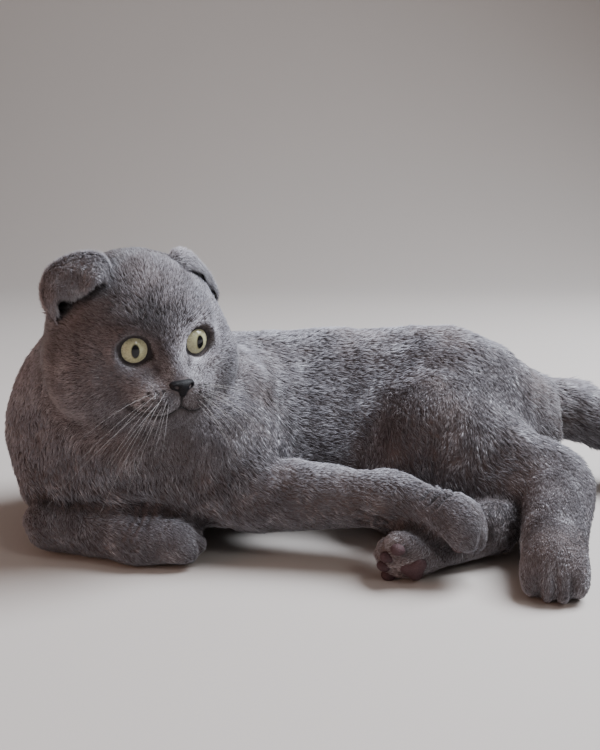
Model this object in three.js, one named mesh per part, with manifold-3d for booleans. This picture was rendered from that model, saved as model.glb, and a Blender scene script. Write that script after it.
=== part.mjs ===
// A life-size Scottish fold cat at rest on the floor: chest upright on folded forelegs, hindquarters rolled
// onto the right hip with both hind feet out in front, head raised and turned to the cat's left.
// Millimetres. +Z is up, +X runs along the body from the chest to the rump, and -Y is the side that the
// belly and the four paws face. The origin is on the floor under the middle of the loin.
//
// Flesh is an implicit surface: named masses (ellipsoids and tapered limbs) that melt into each other.
// The trunk is one such surface parted by flat cuts, and each limb is set into it at its own root.

import * as THREE from "three";
import { mergeVertices } from "three/addons/utils/BufferGeometryUtils.js";
import Module from "manifold-3d";

const wasm = await Module();
wasm.setup();

// Driving dimensions
const GAP = 0.3; // between two sub-parts that touch
const HEAD_YAW = 34; // degrees, from facing -Y towards +X
const HEAD_PITCH = 4; // degrees, nose down
const HEAD_ROLL = 2; // degrees, left side up
const HEAD_SIZE = 1.04; // of a head that is 120 mm across the cheeks with its coat
const EYE_RADIUS = 11.2;
const EYE_SPREAD = 17.7; // from the midline to each eyeball's centre, before HEAD_SIZE
const EYE_DIVERGENCE = 12; // degrees that each eye looks outwards
const EYE_OPENING = [8.5, 7.7]; // half width and half height between the lids
const LID_THICKNESS = 1.4;
const LID_RIM = 0.9; // radius of the bead round the opening
const LID_TILT = 8; // degrees, outer corner up
const LIP_RADIUS = 1.5;
const MOUTH_RADIUS = 0.8; // of the groove between the lips
const EAR_THICKNESS = [3.2, 1.5]; // at the root and at the rim
const BODY_CELL = 17; // of the grids that the surfaces are drawn on
const LIMB_CELL = 11;
const PAW_CELL = 6.3;
const NOSE_CELL = 2.1;
const HEAD_RINGS = 27; // round the line of the nose, close together over the face
const HEAD_SPOKES = 42;
const SPARE = 1.6; // by which a coarse hollow is drawn larger than what lies in it

const V = (x, y, z) => new THREE.Vector3(x, y, z);
const rad = THREE.MathUtils.degToRad;
const UP = V(0, 0, 1);

// Joints and other landmarks of the pose, on the midline of each limb
const headCentre = V(-97, -74, 131);
const neckBase = V(-124, -14, 84);
const withers = V(-62, 16, 66);
const loin = V(22, 24, 64);
const croup = V(92, 26, 64);
const rump = V(140, 24, 50);

const leftShoulder = V(-50, -36, 82);
const leftElbow = V(-32, -84, 38);
const leftWrist = V(56, -106, 40);
const leftPaw = V(90, -127, 35);

const rightShoulder = V(-146, -42, 66);
const rightElbow = V(-150, -84, 22);
const rightWrist = V(-97, -103, 16);
const rightPaw = V(-77, -105, 16);

const leftHip = V(112, 6, 74);
const leftKnee = V(88, -44, 60);
const leftHock = V(160, -66, 38);
const leftHindPaw = V(142, -148, 17);

const rightHip = V(112, -8, 34);
const rightKnee = V(66, -56, 28);
const rightHock = V(126, -88, 21);
const rightHindPaw = V(64, -128, 16);

const tailLine = [
  V(160, 38, 64),
  V(200, 48, 58),
  V(238, 46, 41),
  V(262, 22, 24),
  V(270, -18, 19),
  V(262, -58, 17),
  V(242, -90, 14),
];
const tailRadius = [27, 24, 22, 20.5, 19, 17, 12];

// The head's own frame: forward along the nose, left towards the cat's left ear, and up through the crown
const forward = V(
  Math.sin(rad(HEAD_YAW)) * Math.cos(rad(HEAD_PITCH)),
  -Math.cos(rad(HEAD_YAW)) * Math.cos(rad(HEAD_PITCH)),
  -Math.sin(rad(HEAD_PITCH)),
);
const left = UP.clone().cross(forward).normalize();
left.applyAxisAngle(forward, rad(HEAD_ROLL));
const crown = forward.clone().cross(left);
const headTurn = new THREE.Matrix4()
  .makeBasis(forward, left, crown)
  .setPosition(headCentre)
  .scale(V(HEAD_SIZE, HEAD_SIZE, HEAD_SIZE));
const inHead = (f, l, u) => V(f, l, u).applyMatrix4(headTurn);

// Fields: each takes a point and gives the distance to its surface, negative inside

function ellipsoid(centre, radii, axes = [V(1, 0, 0), V(0, 1, 0), UP]) {
  const [ex, ey, ez] = axes;
  const [rx, ry, rz] = radii;
  return (p) => {
    const dx = p.x - centre.x;
    const dy = p.y - centre.y;
    const dz = p.z - centre.z;
    const a = (dx * ex.x + dy * ex.y + dz * ex.z) / rx;
    const b = (dx * ey.x + dy * ey.y + dz * ey.z) / ry;
    const c = (dx * ez.x + dy * ez.y + dz * ez.z) / rz;
    const scaled = Math.hypot(a, b, c);
    const steep = Math.hypot(a / rx, b / ry, c / rz);
    return steep < 1e-9 ? -Math.min(rx, ry, rz) : (scaled * (scaled - 1)) / steep;
  };
}

// Two balls and the cone that wraps them
function limb(a, b, ra, rb) {
  const axis = b.clone().sub(a);
  const length2 = axis.lengthSq();
  const slope = ra - rb;
  const flank2 = length2 - slope * slope;
  return (p) => {
    const px = p.x - a.x;
    const py = p.y - a.y;
    const pz = p.z - a.z;
    const y = px * axis.x + py * axis.y + pz * axis.z;
    const z = y - length2;
    const qx = px * length2 - axis.x * y;
    const qy = py * length2 - axis.y * y;
    const qz = pz * length2 - axis.z * y;
    const x2 = qx * qx + qy * qy + qz * qz;
    const y2 = y * y * length2;
    const z2 = z * z * length2;
    const k = Math.sign(slope) * slope * slope * x2;
    if (Math.sign(z) * flank2 * z2 > k) return Math.sqrt(x2 + z2) / length2 - rb;
    if (Math.sign(y) * flank2 * y2 < k) return Math.sqrt(x2 + y2) / length2 - ra;
    return (Math.sqrt((x2 * flank2) / length2) + y * slope) / length2 - ra;
  };
}

const meld = (a, b, k) => {
  const h = Math.max(k - Math.abs(a - b), 0) / k;
  return Math.min(a, b) - (h * h * k) / 4;
};
const together = (k, ...fields) => (p) => {
  let d = fields[0](p);
  for (let i = 1; i < fields.length; i++) d = meld(d, fields[i](p), k);
  return d;
};
const pressed = (k, body, ...hollows) => (p) => {
  let d = body(p);
  for (const hollow of hollows) d = -meld(-d, hollow(p), k);
  return d;
};
const grown = (field, by) => (p) => field(p) - by;

// The head's masses, in its own frame
const headMass = (f, l, u, rf, rl, ru) =>
  ellipsoid(
    inHead(f, l, u),
    [rf, rl, ru].map((r) => r * HEAD_SIZE),
    [forward, left, crown],
  );
const pair = (make) => [-1, 1].map(make);

const skull = together(
  14,
  headMass(-6, 0, 5, 44, 52, 49),
  headMass(6, 0, 0, 33, 44, 39),
  headMass(8, 0, -24, 36, 36, 20),
  ...pair((s) => headMass(6, s * 33, -14, 30, 27, 27)),
);
const muzzle = together(
  4,
  ...pair((s) => headMass(40.5, s * 11, -21.5, 14.5, 14, 11.5)),
  headMass(44, 0, -22, 9, 6, 8),
  headMass(40, 0, -34, 9.5, 12, 6.5),
  limb(inHead(30, 0, 9), inHead(46, 0, -12), 10.5, 8),
);
const brows = together(8, ...pair((s) => headMass(29, s * 18, 17, 9, 13, 6)));
const sockets = pair((s) => headMass(47, s * 13, -3, 9, 6, 9));

const eyeCentre = (s) => inHead(26.3, s * EYE_SPREAD, 4);
const eyeAxis = (s) => forward.clone().applyAxisAngle(crown, rad(s * EYE_DIVERGENCE));
const eyeballs = pair((s) => {
  const size = EYE_RADIUS + LID_THICKNESS;
  return ellipsoid(eyeCentre(s), [size, size, size]);
});
const face = together(
  7,
  pressed(6, together(9, skull, muzzle, brows), ...sockets),
  ...eyeballs,
);

const neck = together(
  20,
  limb(inHead(-16, 0, -8), neckBase, 49, 60),
  limb(inHead(0, 0, -30), V(-104, -58, 60), 38, 46),
);

// The trunk and the upper limbs
const chest = together(
  22,
  ellipsoid(V(-114, -28, 62), [74, 62, 60]),
  ellipsoid(V(-95, -66, 52), [58, 42, 50]),
  limb(rightShoulder, rightElbow, 40, 21),
  limb(leftShoulder, V(-44, -74, 52), 38, 30),
  limb(V(-44, -74, 52), leftElbow, 30, 25),
);
const back = together(
  24,
  ellipsoid(withers, [84, 54, 57]),
  ellipsoid(loin, [84, 48, 61]),
  ellipsoid(V(-4, -6, 42), [74, 46, 47]),
);
const pelvis = together(
  22,
  ellipsoid(croup, [62, 54, 61]),
  ellipsoid(rump, [50, 50, 48]),
  limb(leftHip, leftKnee, 44, 36),
  limb(leftKnee, leftHock, 34, 27),
  limb(rightHip, rightKnee, 38, 26),
  limb(rightKnee, rightHock, 25, 18),
);
const tailPiece = (first, last) =>
  together(
    6,
    ...tailLine
      .slice(first, last)
      .map((start, i) =>
        limb(start, tailLine[first + i + 1], tailRadius[first + i], tailRadius[first + i + 1]),
      ),
  );
const trunk = together(24, together(26, neck, chest), together(24, back, pelvis));

// A paw's own frame: x along `ahead`, z out of its back, and its sole faces -z
function pawFrame(centre, ahead, top, size) {
  const z = top.clone().normalize();
  const x = ahead.clone().addScaledVector(z, -ahead.dot(z)).normalize();
  const y = z.clone().cross(x);
  const turn = new THREE.Matrix4().makeBasis(x, y, z).setPosition(centre);
  turn.scale(V(size, size, size));
  return { turn, size, axes: [x, y, z], at: (f, l, u) => V(f, l, u).applyMatrix4(turn) };
}
const toeRows = [-1.5, -0.5, 0.5, 1.5];
const toeReach = (row) => 13 - 2.2 * row * row;

// A rounded palm with four toes in a row
function pawField({ at, axes, size }) {
  const toes = toeRows.map((row) =>
    ellipsoid(
      at(toeReach(row), row * 8.4, -3),
      [11.5, 5.2, 10].map((r) => r * size),
      axes,
    ),
  );
  const palm = ellipsoid(
    at(0, 0, 0),
    [18, 16.5, 14].map((r) => r * size),
    axes,
  );
  return together(5 * size, palm, together(1.2 * size, ...toes));
}
const paws = {
  left_forepaw: pawFrame(leftPaw, V(0.8, -0.35, -0.55), V(0.5, -0.1, 0.85), 1.02),
  right_forepaw: pawFrame(rightPaw, V(1, -0.05, -0.05), V(0, -0.1, 1), 0.98),
  left_hind_paw: pawFrame(leftHindPaw, V(-0.18, -1, -0.35), V(-0.1, -0.3, 1), 1.12),
  right_hind_paw: pawFrame(rightHindPaw, V(-1, -0.3, 0), V(0.1, 0.9, 0.55), 0.98),
};

// Solids

// The surface of a field round the given points, on a grid of this cell: one vertex for each cell that it
// crosses, moved along the slope until it lies on the surface
function polygonise(field, points, margin, cell) {
  const box = new THREE.Box3().setFromPoints(points).expandByScalar(margin);
  const size = box.getSize(V(0, 0, 0));
  const nx = Math.ceil(size.x / cell) + 1;
  const ny = Math.ceil(size.y / cell) + 1;
  const nz = Math.ceil(size.z / cell) + 1;
  const at = (i, j, k) => (k * ny + j) * nx + i;
  const value = new Float32Array(nx * ny * nz);
  const p = V(0, 0, 0);
  for (let k = 0; k < nz; k++)
    for (let j = 0; j < ny; j++)
      for (let i = 0; i < nx; i++) {
        p.set(box.min.x + i * cell, box.min.y + j * cell, box.min.z + k * cell);
        const border = i * j * k === 0 || i === nx - 1 || j === ny - 1 || k === nz - 1;
        const d = field(p);
        value[at(i, j, k)] = border ? Math.max(d, 0.01 * cell) : d || 1e-6;
      }
  const positions = [];
  const vertexOf = new Int32Array(nx * ny * nz).fill(-1);
  const corners = [0, 1, nx, nx + 1, nx * ny, nx * ny + 1, nx * ny + nx, nx * ny + nx + 1];
  const edges = [];
  for (let a = 0; a < 8; a++)
    for (const step of [1, 2, 4]) if (!(a & step)) edges.push([a, a | step]);
  for (let k = 0; k < nz - 1; k++)
    for (let j = 0; j < ny - 1; j++)
      for (let i = 0; i < nx - 1; i++) {
        const base = at(i, j, k);
        let count = 0;
        const sum = [0, 0, 0];
        for (const [a, b] of edges) {
          const va = value[base + corners[a]];
          const vb = value[base + corners[b]];
          if (va < 0 === vb < 0) continue;
          const t = va / (va - vb);
          [1, 2, 4].forEach((bit, axis) => {
            const low = a & bit ? 1 : 0;
            const high = b & bit ? 1 : 0;
            sum[axis] += low + t * (high - low);
          });
          count++;
        }
        if (!count) continue;
        vertexOf[base] = positions.length / 3;
        const start = V(i, j, k).multiplyScalar(cell).add(box.min);
        const spot = V(...sum).multiplyScalar(cell / count).add(start);
        positions.push(...settle(field, spot, start, cell));
      }
  const triangles = [];
  const quad = (a, b, c, d, flip) =>
    flip ? triangles.push(a, c, b, a, d, c) : triangles.push(a, b, c, a, c, d);
  for (let k = 0; k < nz - 1; k++)
    for (let j = 0; j < ny - 1; j++)
      for (let i = 0; i < nx - 1; i++) {
        const here = at(i, j, k);
        const inside = value[here] < 0;
        const cells = (...back) => back.map((o) => vertexOf[here - o]);
        if (j && k && inside !== value[here + 1] < 0)
          quad(...cells(nx + nx * ny, nx * ny, 0, nx), !inside);
        if (i && k && inside !== value[here + nx] < 0)
          quad(...cells(1 + nx * ny, 1, 0, nx * ny), !inside);
        if (i && j && inside !== value[here + nx * ny] < 0)
          quad(...cells(1 + nx, nx, 0, 1), !inside);
      }
  const geometry = new THREE.BufferGeometry();
  geometry.setAttribute("position", new THREE.Float32BufferAttribute(positions, 3));
  geometry.setIndex(triangles);
  return toSolid(geometry);
}

// A point moved down the field's slope to its surface, kept within its own cell
function settle(field, spot, low, cell) {
  const step = 0.5;
  for (let turn = 0; turn < 2; turn++) {
    const d = field(spot);
    const slope = ["x", "y", "z"].map((axis) => {
      const aside = spot.clone();
      aside[axis] += step;
      return (field(aside) - d) / step;
    });
    spot.addScaledVector(V(...slope), -d / Math.max(Math.hypot(...slope) ** 2, 0.3));
  }
  const high = low.clone().addScalar(cell);
  return spot.clamp(low, high).toArray();
}

// The first crossing of a field's surface by a ray from inside it
function surfacePoint(field, from, direction, furthest) {
  const p = from.clone();
  let reach = 0;
  for (let i = 0; i < 60 && reach < furthest; i++) {
    const d = field(p);
    if (d > -0.01) break;
    reach += Math.max(-0.7 * d, 0.02);
    p.copy(from).addScaledVector(direction, reach);
  }
  return p;
}

// A closed skin of rays cast out from a centre: rings round `forward`, close together over the face
function headSkin(field, rings, spokes) {
  const furthest = 96;
  const centre = inHead(4, 0, -2);
  const positions = [];
  const ringAngle = (t) => Math.PI * (0.42 * t + 0.58 * t ** 2.4);
  const cast = (angle, around) => {
    const direction = forward
      .clone()
      .multiplyScalar(Math.cos(angle))
      .addScaledVector(left, Math.sin(angle) * Math.cos(around))
      .addScaledVector(crown, Math.sin(angle) * Math.sin(around));
    positions.push(...surfacePoint(field, centre, direction, furthest).toArray());
  };
  cast(0, 0);
  for (let i = 1; i < rings; i++)
    for (let j = 0; j < spokes; j++) cast(ringAngle(i / rings), (2 * Math.PI * j) / spokes);
  cast(Math.PI, 0);
  const triangles = [];
  const last = positions.length / 3 - 1;
  const at = (i, j) => 1 + (i - 1) * spokes + (j % spokes);
  for (let j = 0; j < spokes; j++) {
    triangles.push(0, at(1, j), at(1, j + 1));
    triangles.push(last, at(rings - 1, j + 1), at(rings - 1, j));
    for (let i = 1; i < rings - 1; i++) {
      triangles.push(at(i, j), at(i + 1, j), at(i + 1, j + 1));
      triangles.push(at(i, j), at(i + 1, j + 1), at(i, j + 1));
    }
  }
  const geometry = new THREE.BufferGeometry();
  geometry.setAttribute("position", new THREE.Float32BufferAttribute(positions, 3));
  geometry.setIndex(triangles);
  return toSolid(geometry);
}

function toSolid(geometry) {
  const bare = geometry.clone();
  for (const name of Object.keys(bare.attributes))
    if (name !== "position") bare.deleteAttribute(name);
  const merged = mergeVertices(bare, 1e-4);
  return new wasm.Manifold(
    new wasm.Mesh({
      numProp: 3,
      vertProperties: merged.attributes.position.array,
      triVerts: new Uint32Array(merged.index.array),
    }),
  );
}

function toGeometry(solid) {
  const mesh = solid.getMesh();
  const geometry = new THREE.BufferGeometry();
  geometry.setAttribute("position", new THREE.BufferAttribute(mesh.vertProperties, 3));
  geometry.setIndex(new THREE.BufferAttribute(mesh.triVerts, 1));
  geometry.computeVertexNormals();
  return geometry;
}

// A large block whose one face lies on the plane through `point`, on the side that `normal` points to
const REACH = 900;
function beyond(point, normal, offset = 0) {
  const block = new THREE.BoxGeometry(REACH, REACH, REACH);
  block.translate(0, 0, REACH / 2 + offset);
  block.applyQuaternion(
    new THREE.Quaternion().setFromUnitVectors(UP, normal.clone().normalize()),
  );
  block.translate(point.x, point.y, point.z);
  return toSolid(block);
}
const floorUp = beyond(V(0, 0, 0), UP);
const largest = (solid) => solid.decompose().sort((a, b) => b.volume() - a.volume())[0];

// A solid parted by a plane into the side before it and the side beyond it, GAP apart
function parted(solid, [point, normal]) {
  const before = solid.intersect(beyond(point, normal.clone().negate(), GAP / 2));
  const after = solid.intersect(beyond(point, normal, GAP / 2));
  return [before, after];
}
const along = (a, b, t) => a.clone().lerp(b, t);
const toward = (a, b) => b.clone().sub(a).normalize();

// Planes that part the sub-parts: a point, and a normal that points to the second of the two
const cuts = {
  neckHead: [inHead(-20, 0, -26), forward.clone().multiplyScalar(0.62).add(crown)],
  chestNeck: [V(-114, -40, 98), V(-0.08, -0.5, 0.8)],
  chestLoin: [V(-22, 0, 0), V(1, 0.12, 0)],
  loinHind: [V(54, 0, 0), V(1, -0.1, 0)],
  pelvisThighs: [V(112, -14, 60), V(-0.25, -0.95, 0)],
  thighs: [V(100, -50, 42), V(0, -0.25, 0.95)],
  tailRoot: [along(tailLine[0], tailLine[1], 0.35), toward(tailLine[0], tailLine[1])],
};

// Limbs: the lengths between their joints, each cut square where it meets the last
const limbs = {
  left_foreleg: {
    field: together(12, limb(leftElbow, leftWrist, 27, 16.5), limb(leftWrist, leftPaw, 17, 16)),
    root: [along(leftElbow, leftWrist, 0.02), toward(leftElbow, leftWrist)],
    paw: "left_forepaw",
    ankle: [along(leftWrist, leftPaw, 0.45), toward(leftWrist, leftPaw)],
    points: [leftElbow, leftWrist, leftPaw],
  },
  right_foreleg: {
    field: together(
      12,
      limb(rightElbow, rightWrist, 23, 16.5),
      limb(rightWrist, rightPaw, 16.5, 15),
    ),
    root: [along(rightElbow, rightWrist, -0.5), toward(rightElbow, rightWrist)],
    paw: "right_forepaw",
    ankle: [along(rightWrist, rightPaw, 0.1), toward(rightWrist, rightPaw)],
    points: [rightElbow, rightWrist, rightPaw],
  },
  left_lower_leg: {
    field: limb(leftHock, leftHindPaw, 28, 18),
    root: [along(leftHock, leftHindPaw, 0.05), toward(leftHock, leftHindPaw)],
    paw: "left_hind_paw",
    ankle: [along(leftHock, leftHindPaw, 0.76), toward(leftHock, leftHindPaw)],
    points: [leftHock, leftHindPaw],
  },
  right_lower_leg: {
    field: limb(rightHock, rightHindPaw, 20, 14),
    root: [along(rightHock, rightHindPaw, 0.02), toward(rightHock, rightHindPaw)],
    paw: "right_hind_paw",
    ankle: [along(rightHock, rightHindPaw, 0.72), toward(rightHock, rightHindPaw)],
    points: [rightHock, rightHindPaw],
  },
};

const root = new THREE.Group();
const finishes = {
  coat: { color: 0x77757c, roughness: 0.85, metalness: 0 },
  iris: { color: 0xc3bf6a, roughness: 0.15, metalness: 0 },
  leather: { color: 0x3a3640, roughness: 0.5, metalness: 0 },
};
function add(name, finish, solid) {
  const mesh = new THREE.Mesh(
    toGeometry(largest(solid)),
    new THREE.MeshStandardMaterial(finishes[finish]),
  );
  mesh.name = name;
  root.add(mesh);
}

// The four lower limbs and their paws, and the room that each needs in what it passes
const rooms = {};
const lower = {};
for (const [name, { field, root: rootCut, paw, ankle, points }] of Object.entries(limbs)) {
  const sole = pawField(paws[paw]);
  const whole = together(5, field, sole);
  const tip = paws[paw].at(10, 0, 0);
  const shaftSide = beyond(...rootCut);
  lower[name] = parted(polygonise(whole, points, 34, LIMB_CELL).intersect(shaftSide), ankle)[0];
  lower[paw] = parted(polygonise(whole, [ankle[0], tip], 30, PAW_CELL), ankle)[1];
  const room = polygonise(grown(whole, SPARE), points, 36, LIMB_CELL);
  rooms[name] = room.intersect(beyond(rootCut[0], rootCut[1], -GAP));
  rooms[paw] = polygonise(grown(whole, 1.5 * SPARE), [ankle[0], tip], 32, 1.2 * PAW_CELL);
}
for (const name of ["right_lower_leg", "right_hind_paw"])
  for (const over of ["left_foreleg", "left_forepaw", "left_lower_leg"])
    lower[name] = lower[name].subtract(rooms[over]);
for (const [name, solid] of Object.entries(lower)) add(name, "coat", solid.intersect(floorUp));

// The head, with the eyes between their lids, the nose leather, the mouth and the ears
const headField = together(16, face, neck);
const onFace = (l, u) => surfacePoint(headField, inHead(5, l, u), forward, 90);
const headSide = beyond(cuts.neckHead[0], cuts.neckHead[1], GAP / 2);
const headRoom = headSkin(grown(headField, GAP + 0.1), HEAD_RINGS, HEAD_SPOKES).intersect(
  beyond(cuts.neckHead[0], cuts.neckHead[1], -GAP / 2),
);
let head = headSkin(headField, HEAD_RINGS, HEAD_SPOKES).intersect(headSide);

// A shape with its y axis outwards and its x axis across, set on an eye with its outer corner raised
function onEye(s, geometry) {
  const out = eyeAxis(s);
  const up = crown.clone().applyAxisAngle(out, s * rad(LID_TILT));
  const turn = new THREE.Matrix4().makeBasis(out.clone().cross(up), out, up);
  return toSolid(geometry.applyMatrix4(turn.setPosition(eyeCentre(s))));
}

// The opening between the lids: a flared tube from the eye's middle outwards
function lidOpening(s) {
  const [wide, high] = EYE_OPENING;
  const depth = Math.sqrt(EYE_RADIUS ** 2 - wide * high);
  const tube = new THREE.CylinderGeometry(1.7, 0.3, 2 * depth, 20);
  return onEye(s, tube.scale(wide, 1, high).translate(0, depth, 0));
}

// The rim of both lids: a ring laid on the eyeball round the opening
function lidRim(s) {
  const [wide, high] = EYE_OPENING;
  const reach = EYE_RADIUS + LID_RIM;
  const ring = new THREE.TorusGeometry(1, LID_RIM / wide, 6, 20);
  const place = ring.attributes.position;
  for (let i = 0; i < place.count; i++) {
    const across = place.getX(i) * wide;
    const up = place.getY(i) * high;
    const rise = place.getZ(i) * wide;
    const spot = V(across, Math.sqrt(reach ** 2 - across ** 2 - up ** 2), up);
    place.setXYZ(i, ...spot.multiplyScalar(1 + rise / reach).toArray());
  }
  ring.index.array.reverse();
  return onEye(s, ring);
}

function eyeball(s, radius, across, down) {
  const { x, y, z } = eyeCentre(s);
  return toSolid(new THREE.SphereGeometry(radius, across, down).translate(x, y, z));
}

// A round bar of this radius along a smooth curve through points
function bar(points, radius, steps) {
  const section = new THREE.Shape();
  section.absarc(0, 0, radius, 0, 2 * Math.PI);
  const extrudePath = new THREE.CatmullRomCurve3(points);
  return toSolid(new THREE.ExtrudeGeometry(section, { steps, curveSegments: 3, extrudePath }));
}

// The nose leather: two wings, a middle and a pointed foot, with a nostril in each wing
const noseField = together(
  2.4,
  ...pair((s) => headMass(51.6, s * 4.6, -14, 3.4, 3.3, 2.8)),
  headMass(52.6, 0, -14.4, 3.6, 4.4, 3.6),
  headMass(52.4, 0, -18.4, 3, 2.2, 3.2),
);
const nosePoints = [inHead(52, -6, -12), inHead(52, 6, -20)];
const nostril = (s) => {
  const hole = new THREE.SphereGeometry(1, 8, 6).scale(3.2, 1.9, 1.1).rotateX(s * 0.5);
  hole.translate(55, s * 4.3, -14.6);
  return toSolid(hole.applyMatrix4(headTurn));
};

// The mouth: a line down from the nose, then a curve under each pad of the muzzle to its corner
const philtrum = [-19, -22, -24.5, -27.5].map((u) => onFace(0, u));
const mouthOutline = [
  [25, -25.5],
  [20, -28.5],
  [13, -32.5],
  [6, -31.5],
  [0, -27.5],
];
const mouthLine = mouthOutline
  .map(([l, u]) => onFace(-l, u))
  .concat(mouthOutline.slice(0, -1).reverse().map(([l, u]) => onFace(l, u)));
const lips = bar(mouthLine, LIP_RADIUS, 16);
const mouth = bar(mouthLine, MOUTH_RADIUS, 16).add(bar(philtrum, MOUTH_RADIUS, 3));

// A folded ear, in columns from its front edge over its inner side to its back and outer edge. Each column
// rises from its root to the crest of the fold and comes down to the rim. The left ear is folded tighter.
const EAR_FOLD = { right: 1, left: 0.8 };
const earColumns = [
  { root: [19, 26, 36], crest: [24, 26, 41], rim: [27, 29, 37] },
  { root: [4, 20, 45], crest: [8, 23, 51], rim: [21, 33, 40] },
  { root: [-14, 43, 28], crest: [-8, 46, 47], rim: [12, 49, 33] },
  { root: [-2, 50, 10], crest: [-5, 55, 28], rim: [3, 54, 22] },
];
function earShell(s) {
  const [columns, rows] = [11, 7];
  const curves = ["root", "crest", "rim"].map(
    (level) =>
      new THREE.CatmullRomCurve3(
        earColumns.map((column) => {
          const fold = EAR_FOLD[s < 0 ? "right" : "left"];
          const [f, l, u] = column[level].map((x, i) => THREE.MathUtils.lerp(column.root[i], x, fold));
          return inHead(f, s * l, u);
        }),
      ),
  );
  const sheet = (i, j) => {
    const share = THREE.MathUtils.clamp(i / columns, 0, 1);
    const [foot, top, end] = curves.map((curve) => curve.getPoint(share));
    const t = j / rows;
    const lift = top.multiplyScalar(2).addScaledVector(foot, -0.5).addScaledVector(end, -0.5);
    return foot
      .multiplyScalar((1 - t) ** 2)
      .addScaledVector(lift, 2 * t * (1 - t))
      .addScaledVector(end, t ** 2);
  };
  const step = 0.2;
  const positions = [];
  for (const face of [0.5, -0.5])
    for (let i = 0; i <= columns; i++)
      for (let j = 0; j <= rows; j++) {
        const across = sheet(i + step, j).sub(sheet(i - step, j));
        const normal = sheet(i, j + step).sub(sheet(i, j - step)).cross(across).normalize();
        const thick = THREE.MathUtils.lerp(...EAR_THICKNESS, j / rows);
        positions.push(...sheet(i, j).addScaledVector(normal, face * thick * s).toArray());
      }
  const at = (face, i, j) => face * (columns + 1) * (rows + 1) + i * (rows + 1) + j;
  const triangles = [];
  const quad = (a, b, c, d) => triangles.push(a, b, c, a, c, d);
  for (let i = 0; i < columns; i++)
    for (let j = 0; j < rows; j++) {
      const [a, b, c, d] = [at(0, i, j), at(0, i, j + 1), at(0, i + 1, j + 1), at(0, i + 1, j)];
      const under = at(1, 0, 0);
      quad(a, b, c, d);
      triangles.push(a + under, c + under, b + under, a + under, d + under, c + under);
    }
  for (let i = 0; i < columns; i++) {
    quad(at(0, i, 0), at(0, i + 1, 0), at(1, i + 1, 0), at(1, i, 0));
    quad(at(0, i + 1, rows), at(0, i, rows), at(1, i, rows), at(1, i + 1, rows));
  }
  for (let j = 0; j < rows; j++) {
    quad(at(0, 0, j + 1), at(0, 0, j), at(1, 0, j), at(1, 0, j + 1));
    quad(at(0, columns, j), at(0, columns, j + 1), at(1, columns, j + 1), at(1, columns, j));
  }
  if (s < 0) triangles.reverse();
  const geometry = new THREE.BufferGeometry();
  geometry.setAttribute("position", new THREE.Float32BufferAttribute(positions, 3));
  geometry.setIndex(triangles);
  return toSolid(geometry);
}

for (const s of [-1, 1]) {
  const side = s < 0 ? "right" : "left";
  head = head.subtract(lidOpening(s)).add(lidRim(s)).subtract(eyeball(s, EYE_RADIUS + GAP, 16, 12));
  add(`${side}_eye`, "iris", eyeball(s, EYE_RADIUS, 16, 12));
  add(`${side}_ear`, "coat", earShell(s).subtract(headRoom));
}
head = head.add(lips).subtract(mouth);
head = head.subtract(polygonise(grown(noseField, 0.45), nosePoints, 6, NOSE_CELL));
add("head", "coat", head);
const nose = polygonise(noseField, nosePoints, 6, NOSE_CELL);
add("nose", "leather", nose.subtract(nostril(-1)).subtract(nostril(1)));

// The trunk, with room cut for the head and the limbs
const trunkPoints = [V(-215, -140, 0), V(240, 100, 190)];
const trunkField = together(10, trunk, tailPiece(0, 1));
let body = polygonise(trunkField, trunkPoints, 12, BODY_CELL).intersect(floorUp);
for (const room of [headRoom, ...Object.values(rooms)]) body = body.subtract(room);
const [foreBody, hindBody] = parted(body, cuts.chestLoin);
const [chestSolid, neckSolid] = parted(foreBody, cuts.chestNeck);
const [loinSolid, hindSolid] = parted(hindBody, cuts.loinHind);
const [pelvisAndTail, thighSolids] = parted(hindSolid, cuts.pelvisThighs);
const [pelvisSolid] = parted(pelvisAndTail, cuts.tailRoot);
const [rightThigh, leftThigh] = parted(thighSolids, cuts.thighs);
add("chest", "coat", chestSolid);
add("neck", "coat", neckSolid);
add("loin", "coat", loinSolid);
add("pelvis", "coat", pelvisSolid);
add("left_thigh", "coat", leftThigh);
add("right_thigh", "coat", rightThigh);

// The tail, in three lengths cut square at its bends
const tailLengths = [
  { name: "tail_root", first: 0, last: 2 },
  { name: "tail_middle", first: 2, last: 4 },
  { name: "tail_tip", first: 4, last: 6 },
];
const bend = (i) => {
  const ahead = tailLine[Math.min(i + 1, tailLine.length - 1)];
  return [tailLine[i], toward(tailLine[i - 1], ahead)];
};
for (const { name, first, last } of tailLengths) {
  const [from, to] = [Math.max(first - 1, 0), Math.min(last + 1, tailLine.length - 1)];
  const field = tailPiece(from, to);
  let solid = polygonise(field, tailLine.slice(from, to + 1), 32, LIMB_CELL).intersect(floorUp);
  solid = parted(solid, first ? bend(first) : cuts.tailRoot)[1];
  if (last < tailLine.length - 1) solid = parted(solid, bend(last))[0];
  add(name, "coat", solid);
}

export default root;
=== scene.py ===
"""The looks of a life-size Scottish fold cat lying at rest, built round its frame of solids.

One skin takes the place of the solids of flesh and lies inside them by the depth of the coat. The coat is
mesh: hundreds of thousands of thin closed tufts that follow its lie. The eyes with their lids, the nose
leather, the mouth, the ears, the whiskers and the pads are pieces of their own.
Lengths are in metres, and places on the head are in millimetres in the head's own frame.
"""

import math

import bpy
import numpy as np
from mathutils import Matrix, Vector
from mathutils.bvhtree import BVHTree


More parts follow.
